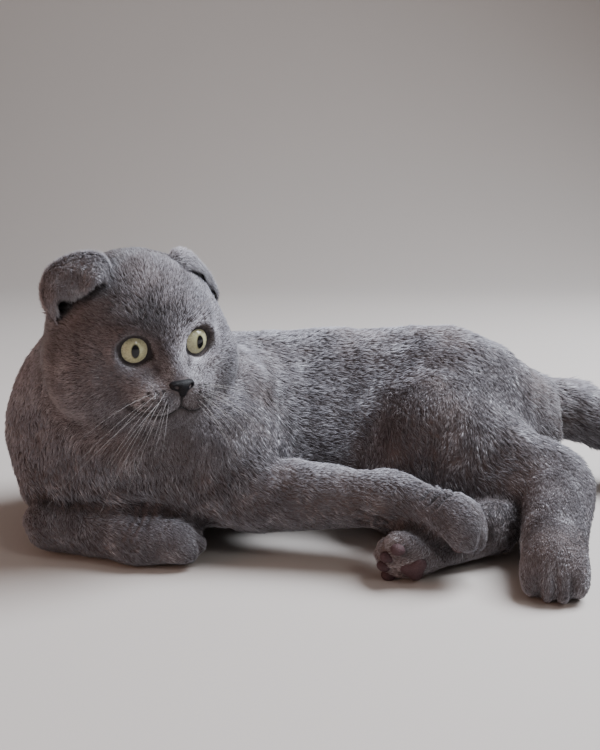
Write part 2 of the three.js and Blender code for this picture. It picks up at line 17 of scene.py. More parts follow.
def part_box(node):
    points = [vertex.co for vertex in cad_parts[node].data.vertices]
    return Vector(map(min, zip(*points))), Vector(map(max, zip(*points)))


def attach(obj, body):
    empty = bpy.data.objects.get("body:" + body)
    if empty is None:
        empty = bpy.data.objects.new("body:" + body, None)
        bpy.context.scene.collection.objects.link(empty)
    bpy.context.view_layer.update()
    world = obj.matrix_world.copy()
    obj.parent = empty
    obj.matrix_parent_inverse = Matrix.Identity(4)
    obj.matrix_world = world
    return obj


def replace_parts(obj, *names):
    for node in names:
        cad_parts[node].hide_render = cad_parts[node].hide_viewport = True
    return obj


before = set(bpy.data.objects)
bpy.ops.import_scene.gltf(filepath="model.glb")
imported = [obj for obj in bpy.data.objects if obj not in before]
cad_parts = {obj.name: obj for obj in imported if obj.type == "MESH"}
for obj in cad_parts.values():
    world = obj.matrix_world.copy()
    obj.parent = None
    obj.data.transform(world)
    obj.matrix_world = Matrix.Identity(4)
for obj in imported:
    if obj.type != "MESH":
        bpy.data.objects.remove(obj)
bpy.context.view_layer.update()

bl_info = {
    "name": "Scottish fold cat",
    "version": (1, 0, 0),
    "blender": (4, 5, 0),
    "location": "View3D > Sidebar > Cat",
    "description": "Builds the skin, coat, face and stage of a life-size lying cat",
    "category": "Object",
}

MM = 0.001
TINY = 1e-12
SEED = 7
SKIN_CELL = 2.0 * MM
NOSE_CELL = 0.45 * MM
BAKE_PATCH = 0.003

# The lowest that the coat comes to the floor, and the height under which it is pressed and thin
FLOOR_GAP = 0.15 * MM
UNDERSIDE = 3 * MM

# How deep the coat lies over the skin, as a share of the length of its tufts
COAT_REST = 0.42

# Where a tuft's ridge lies, as a share of its length along it and of its width above it
TUFT_RIDGE = 0.35

# The pose, as the solids have it
HEAD_CENTRE = np.array((-97, -74, 131)) * MM
HEAD_TURN = {"yaw": 34, "pitch": 4, "roll": 2}
HEAD_SIZE = 1.04
EYE_DIVERGENCE = 12
LID_TILT = 8
NOSE_TIP = (52, 0, -15)
NOSE_REACH = (7.5, 6.4, 4.6)

# The corners of the lids, drawn out from their ellipse: where each lies round the eye in degrees from its
# outer end, how far it reaches, and its width in radians
LID_CORNERS = ((195, 2.6 * MM, 0.24), (8, 0.7 * MM, 0.35))

# The bead along the lids: how far it spreads, its height, its gap over the eyeball, and how deep it goes into
# the ball. The roots of the coat keep off the ball by the lift.
LID_SPREAD = 3.4 * MM
LID_HEIGHT = 0.95 * MM
LID_GAP = 0.15 * MM
LID_SUNK = 0.6 * MM
LID_LIFT = 1.2 * MM

# Distances from an eye's centre between which the coat changes to the short coat round it
EYE_SURROUND = (19 * MM, 14 * MM)
EYE_SWIRL = (17 * MM, 12 * MM)

# The dark line from an eye's inner corner towards the nose, on the left of the head in millimetres
TEAR_LINE = ((35, 9.5, 0), (43, 8, -9))

# The line of the mouth from its corner to the middle, and the line from the nose down to it: places to the
# left and up on the head, with the depth and width of their groove
MOUTH_HALF = [(26, -25), (21, -28.5), (13.5, -31.5), (6, -30.8), (0, -27.5)]
MOUTH_CLEFT = [(0, -18.5), (0, -22), (0, -24.5), (0, -27.5)]
GROOVE_DEPTH = 1.3 * MM
GROOVE_WIDTH = 1.7

# Rows of whisker follicles on one pad of the muzzle: how high, how many, and where the row starts
FOLLICLE_ROWS = ((-16.5, 3, 10), (-20, 4, 9.5), (-23.5, 4, 9), (-27, 3, 10))
FOLLICLE_PITCH = 3.6
FOLLICLE_REACH = 1.1

# Solids of flesh, in the groups that the coat is made in, with how many tufts each group has
FLESH = {
    "head": ("head", "nose", "right_eye", "left_eye"),
    "neck": ("neck",),
    "chest": ("chest",),
    "loin": ("loin",),
    "hips": ("pelvis", "left_thigh", "right_thigh"),
    "forelegs": ("left_foreleg", "left_forepaw", "right_foreleg", "right_forepaw"),
    "hindlegs": ("left_lower_leg", "left_hind_paw", "right_lower_leg", "right_hind_paw"),
    "tail": ("tail_root", "tail_middle", "tail_tip"),
}
TUFTS = {
    "face": 50000,
    "head": 44000,
    "neck": 30000,
    "chest": 42000,
    "loin": 32000,
    "hips": 44000,
    "forelegs": 40000,
    "hindlegs": 35000,
    "tail": 20000,
}

# Each paw's middle, the way its toes point, the way its back faces, and its size
PAWS = {
    "left_forepaw": ((90, -127, 35), (0.8, -0.35, -0.55), (0.5, -0.1, 0.85), 1.02),
    "right_forepaw": ((-77, -105, 16), (1, -0.05, -0.05), (0, -0.1, 1), 0.98),
    "left_hind_paw": ((142, -148, 17), (-0.18, -1, -0.35), (-0.1, -0.3, 1), 1.12),
    "right_hind_paw": ((64, -128, 16), (-1, -0.3, 0), (0.1, 0.9, 0.55), 0.98),
}
TOE_PITCH = 8.4
TOE_ROWS = (-1.5, -0.5, 0.5, 1.5)
CLEFT_DEPTH = 1.9 * MM
CLEFT_WIDTH = 1.5
PAW_REACH = 19

# Wrinkles of the wrists: how far behind each forepaw's middle, in millimetres, and how strong. The strength
# sets both their depth and the painted shade that darkens them.
WRINKLES = ((11, 0.7), (16.5, 1.0), (22, 0.8))
WRINKLE_DEPTH = 2.4 * MM
WRINKLE_WIDTH = 1.2

# Where one part of the body lies against another without growing from it: the two sets of solids, and how
# deep the crease between them runs, in millimetres. The crease also darkens the skin and the coat over it:
# painted shade.
CREASES = [
    (("left_foreleg", "left_forepaw"), ("loin", "left_thigh", "right_thigh", "left_lower_leg"), 6),
    (("left_foreleg", "left_forepaw"), ("right_lower_leg", "right_hind_paw"), 6),
    (("right_foreleg", "right_forepaw"), ("chest",), 4.5),
    (("left_lower_leg", "left_hind_paw"), ("right_thigh", "right_lower_leg", "right_hind_paw"), 6),
    (("left_thigh",), ("right_thigh", "right_lower_leg"), 4),
    (("head",), ("chest",), 2.5),
]
CREASE_WIDTH = 4.5 * MM

# Silvery places of the head, above 0, and dusky ones, below 0: each bell's middle and reach, in millimetres,
# and its strength. The bell on the crown is a painted highlight. The one over the forehead is painted shade
# and partly a darker marking. Those under the jaws are painted shade. Those on the whisker pads are partly
# paler fur and partly a painted highlight.
PAINTED_LIGHT_AND_TONE_BELLS = [((40, -6, 22), (24, 36, 17), -0.7), ((0, 0, 58), (30, 40, 12), 0.3)] + [
    ((ahead, side * aside, high), reach, strength)
    for (ahead, aside, high), reach, strength in (
        ((44, 13, -19), (10, 12, 8), 0.3),
        ((34, 20, -12), (10, 9, 6), 0.22),
        ((20, 30, -38), (20, 22, 12), -0.3),
    )
    for side in (-1, 1)
]

# Lines that the coat follows, from the trunk out to the toes and the tail's tip: points in millimetres and
# how far the body reaches from each line
LIES = [
    ([(-90, 14, 90), (-62, 16, 66), (22, 24, 64), (92, 26, 64), (150, 30, 50)], 62),
    ([(-124, -34, 112), (-118, -70, 62), (-108, -92, 24)], 50),
    ([(-146, -42, 66), (-150, -84, 22), (-97, -103, 16), (-56, -106, 12)], 30),
    ([(-50, -36, 82), (-32, -84, 38), (56, -106, 40), (90, -127, 35), (104, -136, 20)], 27),
    ([(112, 6, 74), (88, -44, 60)], 44),
    ([(88, -44, 60), (160, -66, 38), (142, -148, 17), (139, -166, 12)], 31),
    ([(112, -8, 34), (66, -56, 28), (126, -88, 21), (64, -128, 16), (44, -134, 14)], 22),
    ([(160, 38, 64), (200, 48, 58), (238, 46, 41), (262, 22, 24)], 22),
    ([(262, 22, 24), (270, -18, 19), (262, -58, 17), (236, -98, 14)], 22),
]

# Swirls of the coat: their size in metres, their strength and their seed
SWIRLS = ((0.05, 0.22, 11), (0.018, 0.15, 21), (0.007, 0.12, 31))

# The head's own frame


def head_axes():
    """Forward along the nose, left and crown: yaw about the vertical, then pitch, then roll about forward."""
    yaw, pitch, roll = (math.radians(HEAD_TURN[turn]) for turn in ("yaw", "pitch", "roll"))
    forward = np.array((
        math.sin(yaw) * math.cos(pitch),
        -math.cos(yaw) * math.cos(pitch),
        -math.sin(pitch),
    ))
    level = np.cross((0, 0, 1), forward)
    level /= np.linalg.norm(level)
    left = level * math.cos(roll) + np.cross(forward, level) * math.sin(roll)
    return np.array((forward, left, np.cross(forward, left)))


HEAD_AXES = head_axes()
FORWARD, LEFT, CROWN = HEAD_AXES


def in_head(points):
    """Points given as millimetres forward, left and up in the head, in metres in the row frame."""
    return HEAD_CENTRE + HEAD_SIZE * MM * np.asarray(points, float) @ HEAD_AXES


def from_head(points):
    """The reverse of in_head."""
    return (points - HEAD_CENTRE) @ HEAD_AXES.T / (HEAD_SIZE * MM)


def unit(vectors):
    return vectors / np.maximum(np.linalg.norm(vectors, axis=-1, keepdims=True), TINY)


def smoothstep(low, high, x):
    """0 at low, 1 at high, level at both and beyond them."""
    t = np.clip((x - low) / (high - low), 0, 1)
    return t * t * (3 - 2 * t)


def waves(points, size, seed, count=5):
    """A smooth random field round 0: the sum of sines along random directions, each about `size` long, over
    the root of their number."""
    random = np.random.default_rng(seed)
    total = np.zeros(len(points))
    for _ in range(count):
        direction = unit(random.normal(size=3)) * 2 * math.pi / (size * random.uniform(0.7, 1.5))
        total += np.sin(points @ direction + random.uniform(0, 2 * math.pi))
    return total / count**0.5


# Meshes


def add_mesh(name, vertices, faces, smooth=True):
    """An object at the origin from an array of places and an array of faces."""
    mesh = bpy.data.meshes.new(name)
    vertices = np.asarray(vertices, np.float32)
    faces = np.asarray(faces, np.int32)
    mesh.vertices.add(len(vertices))
    mesh.vertices.foreach_set("co", vertices.ravel())
    mesh.loops.add(faces.size)
    mesh.loops.foreach_set("vertex_index", faces.ravel())
    mesh.polygons.add(len(faces))
    mesh.polygons.foreach_set("loop_start", np.arange(0, faces.size, faces.shape[1], dtype=np.int32))
    mesh.polygons.foreach_set("use_smooth", np.full(len(faces), smooth))
    mesh.update(calc_edges=True)
    mesh.validate()
    thing = bpy.data.objects.new(name, mesh)
    bpy.context.scene.collection.objects.link(thing)
    return thing


def add_values(thing, name, values):
    """A number at each vertex, for the materials to read."""
    attribute = thing.data.attributes.new(name, "FLOAT", "POINT")
    attribute.data.foreach_set("value", np.asarray(values, np.float32))


def dress(thing, material):
    """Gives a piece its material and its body."""
    thing.data.materials.append(material)
    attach(thing, "root")
    return thing


def read_mesh(mesh):
    """The vertices and triangles of a mesh as arrays."""
    mesh.calc_loop_triangles()
    vertices = np.empty(len(mesh.vertices) * 3)
    mesh.vertices.foreach_get("co", vertices)
    triangles = np.empty(len(mesh.loop_triangles) * 3, np.int32)
    mesh.loop_triangles.foreach_get("vertices", triangles)
    return vertices.reshape(-1, 3), triangles.reshape(-1, 3)


def search_tree(places, triangles):
    return BVHTree.FromPolygons(places.tolist(), triangles.tolist())


def solids(nodes):
    """The triangles of several solids of the frame, and for each triangle the number of its solid."""
    vertices, triangles, owner = [], [], []
    start = 0
    for number, node in enumerate(nodes):
        places, corners = read_mesh(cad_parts[node].data)
        vertices.append(places)
        triangles.append(corners + start)
        owner.append(np.full(len(corners), number))
        start += len(places)
    return np.concatenate(vertices), np.concatenate(triangles), np.concatenate(owner)


def remeshed(nodes, cell):
    """One closed surface of small squares round several solids, with the cuts between them healed."""
    vertices, triangles, _ = solids(nodes)
    draft = add_mesh("draft", vertices, triangles)
    remesh = draft.modifiers.new("cells", "REMESH")
    remesh.mode = "VOXEL"
    remesh.voxel_size = cell
    shaped = bpy.data.meshes.new_from_object(draft.evaluated_get(bpy.context.evaluated_depsgraph_get()))
    places = np.empty(len(shaped.vertices) * 3)
    shaped.vertices.foreach_get("co", places)
    corners = np.empty(len(shaped.loops), np.int32)
    shaped.loops.foreach_get("vertex_index", corners)
    bpy.data.objects.remove(draft)
    return places.reshape(-1, 3), corners.reshape(-1, 4)


def neighbour_mean(faces, values):
    """For each vertex the mean of a value over the vertices that it shares an edge with."""
    ring = np.roll(faces, -1, axis=1)
    a, b = np.concatenate((faces.ravel(), ring.ravel())), np.concatenate((ring.ravel(), faces.ravel()))
    count = np.bincount(a, minlength=len(values))
    columns = values.reshape(len(values), -1).T
    total = np.array([np.bincount(a, column[b], len(values)) for column in columns]).T
    return (total / np.maximum(count, 1)[:, None]).reshape(values.shape)


def smoothed(faces, values, share, turns):
    """Values drawn towards the mean of their neighbours by a share, several times over."""
    share = np.asarray(share, float)
    if share.ndim and values.ndim > 1:
        share = share[:, None]
    for _ in range(turns):
        values = values + share * (neighbour_mean(faces, values) - values)
    return values


def normals_of(vertices, faces):
    """Outward directions at the vertices: the sum of the cross products of each face's diagonals."""
    a, b, c = vertices[faces[:, 0]], vertices[faces[:, 1]], vertices[faces[:, 2]]
    last = vertices[faces[:, -1]]
    across = np.cross(c - a, last - b) if faces.shape[1] == 4 else np.cross(b - a, c - a)
    total = np.zeros_like(vertices)
    for corner in range(faces.shape[1]):
        for axis in range(3):
            total[:, axis] += np.bincount(faces[:, corner], across[:, axis], len(vertices))
    return unit(total)


def grid_faces(rows, columns, closed_rows=False, closed_columns=False):
    """Squares between the points of a grid, which may run round on itself either way."""
    i, j = np.meshgrid(
        np.arange(rows if closed_rows else rows - 1),
        np.arange(columns if closed_columns else columns - 1),
        indexing="ij",
    )
    i, j = i.ravel(), j.ravel()
    k, m = (i + 1) % rows, (j + 1) % columns
    return np.stack((i * columns + j, i * columns + m, k * columns + m, k * columns + j), 1)


def tubes(paths, radii, sides=5):
    """Closed tubes: at each point of each path a ring of the given radius, square to the path, and a cap over
    the first and the last. Paths are (count, steps, 3) and radii (count, steps)."""
    count, steps, _ = paths.shape
    ahead = unit(np.gradient(paths, axis=1))
    aside = unit(np.cross(ahead, np.broadcast_to((0.31, 0.17, 0.94), ahead.shape)))
    up = np.cross(ahead, aside)
    angle = np.arange(sides) * 2 * math.pi / sides
    ring = aside[:, :, None] * np.cos(angle)[:, None] + up[:, :, None] * np.sin(angle)[:, None]
    places = paths[:, :, None] + ring * radii[:, :, None, None]
    one = grid_faces(steps, sides, closed_columns=True)[:, ::-1]
    size = steps * sides
    faces = (one[None] + (np.arange(count) * size)[:, None, None]).reshape(-1, 4)
    caps = []
    for first in (0, size - sides):
        hub = first + np.arange(sides)
        fan = np.stack((np.full(sides - 2, hub[0]), hub[1:-1], hub[2:]), 1)
        caps.append(fan[:, ::-1] if first == 0 else fan)
    caps = (np.concatenate(caps)[None] + (np.arange(count) * size)[:, None, None]).reshape(-1, 3)
    return places.reshape(-1, 3), faces, caps


def add_mixed(name, places, quads, triangles):
    """An object from squares and triangles together."""
    mesh = bpy.data.meshes.new(name)
    mesh.from_pydata(places.tolist(), [], quads.tolist() + triangles.tolist())
    mesh.polygons.foreach_set("use_smooth", np.full(len(mesh.polygons), True))
    mesh.update()
    thing = bpy.data.objects.new(name, mesh)
    bpy.context.scene.collection.objects.link(thing)
    return thing


# Materials


class Value:
    """An output of a node, with the arithmetic of shader maths."""

    def __init__(self, tree, socket):
        self.tree = tree
        self.socket = socket

    def maths(self, operation, *terms):
        return self.tree.node("ShaderNodeMath", {"operation": operation}, dict(enumerate(terms)))

    def __add__(self, other):
        return self.maths("ADD", self, other)

    def __sub__(self, other):
        return self.maths("SUBTRACT", self, other)

    def __rsub__(self, other):
        return self.maths("SUBTRACT", other, self)

    def __mul__(self, other):
        return self.maths("MULTIPLY", self, other)

    def __truediv__(self, other):
        return self.maths("DIVIDE", self, other)

    def __pow__(self, other):
        return self.maths("POWER", self, other)

    __radd__ = __add__
    __rmul__ = __mul__

    def step(self, low, high):
        """0 below low, 1 above high, and smooth between them."""
        settings = {"interpolation_type": "SMOOTHSTEP"}
        return self.tree.node("ShaderNodeMapRange", settings, {"Value": self, 1: low, 2: high})


class Tree:
    """A material's nodes, ending in one Principled shader."""

    def __init__(self, name, **constants):
        self.material = bpy.data.materials.new(name)
        self.material.use_nodes = True
        self.nodes = self.material.node_tree.nodes
        self.shader = self.nodes["Principled BSDF"]
        for socket, value in constants.items():
            self.shader.inputs[SOCKETS[socket]].default_value = value

    def node(self, kind, settings=None, inputs=None, output=0):
        """A node of this kind with its settings, then the numbers or links of its inputs."""
        made = self.nodes.new(kind)
        for key, value in (settings or {}).items():
            setattr(made, key, value)
        for key, value in (inputs or {}).items():
            self.join(value, made.inputs[key])
        return Value(self, made.outputs[output])

    def join(self, value, socket):
        if isinstance(value, Value):
            self.material.node_tree.links.new(value.socket, socket)
        else:
            socket.default_value = value

    def mix(self, a, b, share):
        """Colour a turned into colour b by a share."""
        return self.node("ShaderNodeMix", {"data_type": "RGBA"}, {0: share, 6: a, 7: b}, 2)

    def place(self):
        return self.node("ShaderNodeTexCoord", output="Object")

    def noise(self, size, detail, rough=0.5):
        """Noise with features about `size` metres across, from 0 to 1."""
        inputs = {"Vector": self.place(), "Scale": 1 / size, "Detail": detail, "Roughness": rough}
        return self.node("ShaderNodeTexNoise", None, inputs)

    def attribute(self, name):
        return self.node("ShaderNodeAttribute", {"attribute_name": name}, output="Fac")

    def set(self, socket, value):
        self.join(value, self.shader.inputs[socket])

    def bump(self, height, strength, distance):
        inputs = {"Height": height, "Strength": strength, "Distance": distance}
        self.set("Normal", self.node("ShaderNodeBump", None, inputs))


SOCKETS = {
    "roughness": "Roughness",
    "coat": "Coat Weight",
    "coat_roughness": "Coat Roughness",
    "specular": "Specular IOR Level",
    "sheen": "Sheen Weight",
    "sheen_roughness": "Sheen Roughness",
}


def rgba(colour, share=1.0):
    """A colour, or a darker one with a share of its light, as a socket takes it."""
    return (*(share * part for part in colour), 1.0)


def brown_shade_cast(tree, base):
    """The cat's one solid colour with the faint brown cast of its shaded fur, alike on skin and coat: painted
    shade, the warm brown of fur in shade, laid in random patches.
    """
    colours = bpy.context.scene.cat_colours
    # Painted shade: a warm brown laid in random patches
    cast = tree.noise(0.05, 2.0).step(0.45, 0.75)
    return tree.mix(base, rgba(colours.cast), cast * 0.35)


def toned(tree, base):
    """A colour drawn towards the darkest or the palest of the coat by the shade of each point, which holds
    random tone and real dark marks together with painted highlight and painted shade.
    """
    colours = bpy.context.scene.cat_colours
    shade = tree.attribute("shade")
    darker = tree.mix(base, rgba(colours.dark), (0 - shade).step(0.0, 1.0))
    return tree.mix(darker, rgba(colours.silver), shade.step(0.0, 1.0))


def coat_material():
    """Tufts: dark at the root, paler at the tip, each a little lighter or darker than the next. The pale
    bluish tip is partly the hair's own colour and partly painted sheen.
    """
    colours = bpy.context.scene.cat_colours
    tree = Tree("fur", roughness=0.62, specular=0.25, sheen=0.12, sheen_roughness=0.4)
    tone = tree.attribute("tone")
    lit = tree.mix(rgba(colours.root), rgba(colours.middle), tone.step(0.0, 0.5))
    lit = tree.mix(lit, rgba(colours.tip), tone.step(0.45, 1.0))
    tree.set("Base Color", toned(tree, brown_shade_cast(tree, lit)))
    return tree.material


def skin_material():
    """The underfur seen between tufts, with the same painted brown shade cast and the same toning as the
    coat, and a fine lie of hairs. It darkens on the bare dark skin and, as painted shade, in the creases and
    the wrinkles of the wrists.
    """
    colours = bpy.context.scene.cat_colours
    tree = Tree("underfur", roughness=0.8, specular=0.2, sheen=0.1)
    fine = tree.noise(0.0012, 4.0, 0.6)
    base = tree.mix(rgba(colours.root), rgba(colours.middle), fine * 0.6)
    base = toned(tree, brown_shade_cast(tree, base))
    # Darker on the bare dark skin of lips, lids and tear lines, and painted shade in the creases and wrist
    # wrinkles
    tree.set("Base Color", tree.mix(base, rgba(colours.dark), tree.attribute("dark")))
    tree.bump(fine, 0.5, 0.0006)
    return tree.material


def ear_material():
    """Thin fur outside, and darker bare skin inside the cup."""
    colours = bpy.context.scene.cat_colours
    tree = Tree("ear_skin", roughness=0.7, specular=0.25, sheen=0.15)
    fine = tree.noise(0.0011, 4.0, 0.6)
    base = tree.mix(rgba(colours.root), rgba(colours.middle), fine * 0.8)
    tree.set("Base Color", tree.mix(brown_shade_cast(tree, base), rgba(colours.ear_hollow), tree.attribute("hollow")))
    tree.bump(fine, 0.4, 0.0005)
    return tree.material


def leather_material(name, colour, cell):
    """Bare skin of the nose or a pad: fine pebbles with darker seams, slightly moist."""
    tree = Tree(name, specular=0.2, coat=0.03, coat_roughness=0.35)
    pebbles = tree.node(
        "ShaderNodeTexVoronoi", {"feature": "DISTANCE_TO_EDGE"}, {"Vector": tree.place(), "Scale": 1 / cell}
    )
    seams = pebbles.step(0.0, 0.25)
    mottle = tree.noise(8 * cell, 2.0)
    tree.set("Base Color", tree.mix(rgba(colour, 0.45), rgba(colour), seams * 0.5 + 0.5 * mottle))
    tree.set("Roughness", 0.42 + 0.25 * mottle)
    tree.bump(seams, 0.5, 0.3 * cell)
    return tree.material


def eye_material():
    """The iris round an upright oval pupil: fibres that run outwards, a paler ring, shade under the upper
    lid, a dark outer edge, and the white beyond it."""
    eyes = bpy.context.scene.cat_eyes
    tree = Tree("eyes", roughness=0.4, specular=0.05, coat=0.7, coat_roughness=0.02)
    across, up = tree.attribute("across"), tree.attribute("up")
    radius = (across * across + up * up) ** 0.5
    outline = ((across / eyes.pupil_width * 2) ** 2.0 + (up / eyes.pupil_height * 2) ** 2.0) ** 0.5
    divisor = radius + 0.01 * MM
    around = {"X": across / divisor, "Y": up / divisor, "Z": radius * 90.0}
    turn = tree.node("ShaderNodeCombineXYZ", None, around)
    strands = {"Vector": turn, "Scale": 9.0, "Detail": 4.0, "Roughness": 0.65}
    fibres = tree.node("ShaderNodeTexNoise", None, strands)
    iris = tree.mix(rgba(eyes.inner), rgba(eyes.outer), radius.step(3.5 * MM, 8.5 * MM))
    iris = tree.mix(iris, rgba(eyes.outer, 0.4), fibres.step(0.4, 0.66) * 0.7)
    iris = tree.mix(iris, rgba(eyes.inner, 0.35), up.step(1 * MM, 9 * MM) * 0.55)
    iris = tree.mix(iris, rgba(eyes.rim), radius.step(7.9 * MM, 9.3 * MM))
    iris = tree.mix(iris, rgba(eyes.inner, 0.3), 1 - outline.step(1.0, 1.25))
    iris = tree.mix(iris, rgba(eyes.white), radius.step(9.5 * MM, 10.1 * MM))
    tree.set("Base Color", tree.mix(iris, rgba(eyes.pupil), 1 - outline.step(0.93, 1.02)))
    return tree.material


def plain_material(name, colour, roughness, spread=0.25, size=0.004, **constants):
    """A colour with a little mottling, for lids, lips, hairs and the floor."""
    tree = Tree(name, roughness=roughness, **constants)
    mottle = tree.noise(size, 3.0)
    tree.set("Base Color", tree.mix(rgba(colour), rgba(colour, 1 - 2 * spread), mottle))
    return tree.material


# The eyes' own frames


def eye_frame(side):
    """The eye's centre, its radius, and its axes across (towards its outer corner), out and up.
    side is -1 for the cat's right eye and 1 for its left."""
    low, high = (np.array(corner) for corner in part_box("right_eye" if side < 0 else "left_eye"))
    centre = (low + high) / 2
    radius = (high - low).max() / 2
    turn = math.radians(side * EYE_DIVERGENCE)
    out = FORWARD * math.cos(turn) + LEFT * math.sin(turn)
    level = np.cross(CROWN, out) * side
    tilt = math.radians(LID_TILT)
    across = level * math.cos(tilt) + CROWN * math.sin(tilt)
    up = CROWN * math.cos(tilt) - level * math.sin(tilt)
    return centre, radius, across, out, up


def lid_reach(angle):
    """How far the edge of the lids lies from the eye's axis in each direction, in metres: an ellipse, drawn
    out to a point at the inner corner and slightly at the outer one. Angle 0 is the outer corner."""
    eyes = bpy.context.scene.cat_eyes
    wide, high = eyes.opening_width / 2, eyes.opening_height / 2
    reach = wide * high / np.hypot(high * np.cos(angle), wide * np.sin(angle))
    for corner, length, width in LID_CORNERS:
        apart = np.angle(np.exp(1j * (angle - math.radians(corner))))
        reach = reach + length * np.exp(-((apart / width) ** 2))
    return reach


def eye_place(points, side):
    """For points near an eye: distance from its centre, share of the way from its axis to the edge of the
    lids, and how far each lies to the front."""
    centre, _, across, out, up = eye_frame(side)
    offset = points - centre
    a, b, c = offset @ across, offset @ up, offset @ out
    far = np.linalg.norm(offset, axis=-1)
    return far, np.hypot(a, b) / lid_reach(np.arctan2(b, a)), c


# Pieces


class CAT_OT_skin(bpy.types.Operator):
    """One skin over head, trunk, legs and tail, inside the solids by the depth of the coat"""

    bl_idname = "cat.skin"
    bl_label = "Skin"

    def execute(self, context):
        nodes = [node for group in FLESH.values() for node in group]
        places, faces = remeshed(nodes, SKIN_CELL)
        vertices, triangles, owner = solids(nodes)
        tree = search_tree(vertices, triangles)
        found = [tree.find_nearest(place)[2] for place in places.tolist()]
        label = owner[np.array(found)]
        labels = np.array(nodes)[label]
        crease = creases(places, labels)
        fine = np.maximum(face_share(places), 0.8 * np.isin(labels, list(PAWS)))
        fine = smoothed(faces, fine, 0.5, 8)
        places = smoothed(faces, places, 0.5 - 0.36 * fine, 18)
        normals = normals_of(places, faces)
        depth, length = coat_depth(places, faces, labels)
        crease = smoothed(faces, crease, 0.5, 2)
        wrinkle = wrist_creases(places)
        depth = depth + crease + toe_clefts(places) + WRINKLE_DEPTH * wrinkle
        places = places - normals * depth[:, None]
        places = places - normals * mouth_groove(places)[:, None]
        places = smoothed(faces, places, 0.3 * smoothstep(0, 1.5 * MM, crease), 4)
        skin = add_mesh("skin", places, faces)
        add_values(skin, "length", length)
        # The skin takes the bells of the head: painted highlight on the crown and whisker pads, painted shade
        # over the forehead and under the jaws
        add_values(skin, "shade", painted_light_and_tone(places))
        # Painted shade in the creases where parts touch and in the wrist wrinkles, together with the dark
        # bare skin of lips, lids and tear lines
        pressed = 0.8 * smoothstep(1 * MM, 5 * MM, crease)
        add_values(skin, "dark", np.maximum.reduce((bare_places(places), pressed, wrinkle)))
        add_values(skin, "label", label)
        unwrap(skin)
        dress(skin, skin_material())
        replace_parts(skin, *[node for node in nodes if node not in ("nose", "right_eye", "left_eye")])
        return {"FINISHED"}


def creases(places, labels):
    """How deep the skin is pressed in where two parts of the body touch: a bell curve over the distance from
    each of the two to the other."""
    pressed = np.zeros(len(places))
    for first, second, deep in CREASES:
        for own, other in ((first, second), (second, first)):
            chosen = np.flatnonzero(np.isin(labels, own))
            vertices, triangles, _ = solids(other)
            tree = search_tree(vertices, triangles)
            gap = np.array([tree.find_nearest(place)[3] for place in places[chosen].tolist()])
            press = deep * MM * np.exp(-((gap / CREASE_WIDTH) ** 2))
            pressed[chosen] = np.maximum(pressed[chosen], press)
    return pressed


def paw_axes(paw):
    """A paw's middle, its axes ahead, aside and out of its back, and its size."""
    centre, ahead, top, size = PAWS[paw]
    up = unit(np.array(top, float))
    front = unit(np.array(ahead) - up * (np.array(ahead) @ up))
    return np.array(centre) * MM, np.array((front, np.cross(up, front), up)), size


def in_paw(points, paw):
    """Points in a paw's own frame, in millimetres of a paw of size 1."""
    centre, axes, size = paw_axes(paw)
    return (points - centre) @ axes.T / (size * MM)


def toe_clefts(places):
    """How deep the clefts between the toes are: three narrow grooves that deepen towards the tips."""
    depth = np.zeros(len(places))
    for paw in PAWS:
        x, y, z = in_paw(places, paw).T
        near = (np.abs(y) < PAW_REACH) & (np.abs(z) < PAW_REACH) & (x > 0) & (x < 34)
        for row in (-1, 0, 1):
            line = np.exp(-(((y - row * TOE_PITCH) / CLEFT_WIDTH) ** 2)) * smoothstep(12, 21, x)
            depth = np.maximum(depth, CLEFT_DEPTH * line * near)
    return depth


def wrist_creases(places):
    """How strong the wrinkles over the wrists are: narrow arcs across the back of each forepaw."""
    strength = np.zeros(len(places))
    for paw in ("left_forepaw", "right_forepaw"):
        x, y, z = in_paw(places, paw).T
        over = smoothstep(-4, 4, z) * smoothstep(18, 8, np.abs(y)) * (np.abs(z) < 24)
        for behind, strong in WRINKLES:
            line = x + behind + 0.02 * y * y + 0.8 * np.sin(0.5 * y + behind)
            strength = np.maximum(strength, strong * over * np.exp(-((line / WRINKLE_WIDTH) ** 2)))
    return strength


def face_share(places):
    """1 on the face and 0 on the body, smooth between them."""
    f, l, u = from_head(places).T
    return smoothstep(8, 24, f) * smoothstep(62, 48, np.hypot(l, u + 4))


def coat_depth(places, faces, labels):
    """How deep the coat lies over each vertex and how long its tufts are: a length for each part of the body,
    blended where parts meet, short round the eyes and the nose."""
    coat = bpy.context.scene.cat_coat
    lengths = {"head": coat.head_length, "tail_root": coat.tail_length, "tail_middle": coat.tail_length}
    lengths["tail_tip"] = 0.8 * coat.tail_length
    lengths |= {paw: coat.paw_length for paw in PAWS}
    for leg in ("foreleg", "lower_leg"):
        lengths |= {f"{side}_{leg}": coat.leg_length for side in ("left", "right")}
    length = np.array([lengths.get(label, coat.body_length) for label in labels])
    length = smoothed(faces, length, 0.5, 50)
    spot = from_head(places)
    to_nose = np.linalg.norm(spot - (46, 0, -18), axis=1)
    on_face = face_share(places)
    short = coat.face_length * (0.55 + 0.75 * smoothstep(8, 45, to_nose))
    length = length * (1 - on_face) + short * on_face
    depth = COAT_REST * length
    for side in (-1, 1):
        far, share, front = eye_place(places, side)
        near = smoothstep(*EYE_SURROUND, far) * (front > 0)
        rim = (0.3 + 1.7 * smoothstep(1.2, 1.04, share)) * MM
        depth = depth * (1 - near) + rim * near
        length = length * (1 - 0.5 * near)
    return depth, length


def mouth_paths():
    """The line between the lips from corner to corner, and the line from the nose down to it: points to the
    left and up in the head, to be cast on to the muzzle."""
    lips = [(-l, u) for l, u in MOUTH_HALF] + MOUTH_HALF[-2::-1]
    return smooth_path(lips, 41), smooth_path(MOUTH_CLEFT, 10)


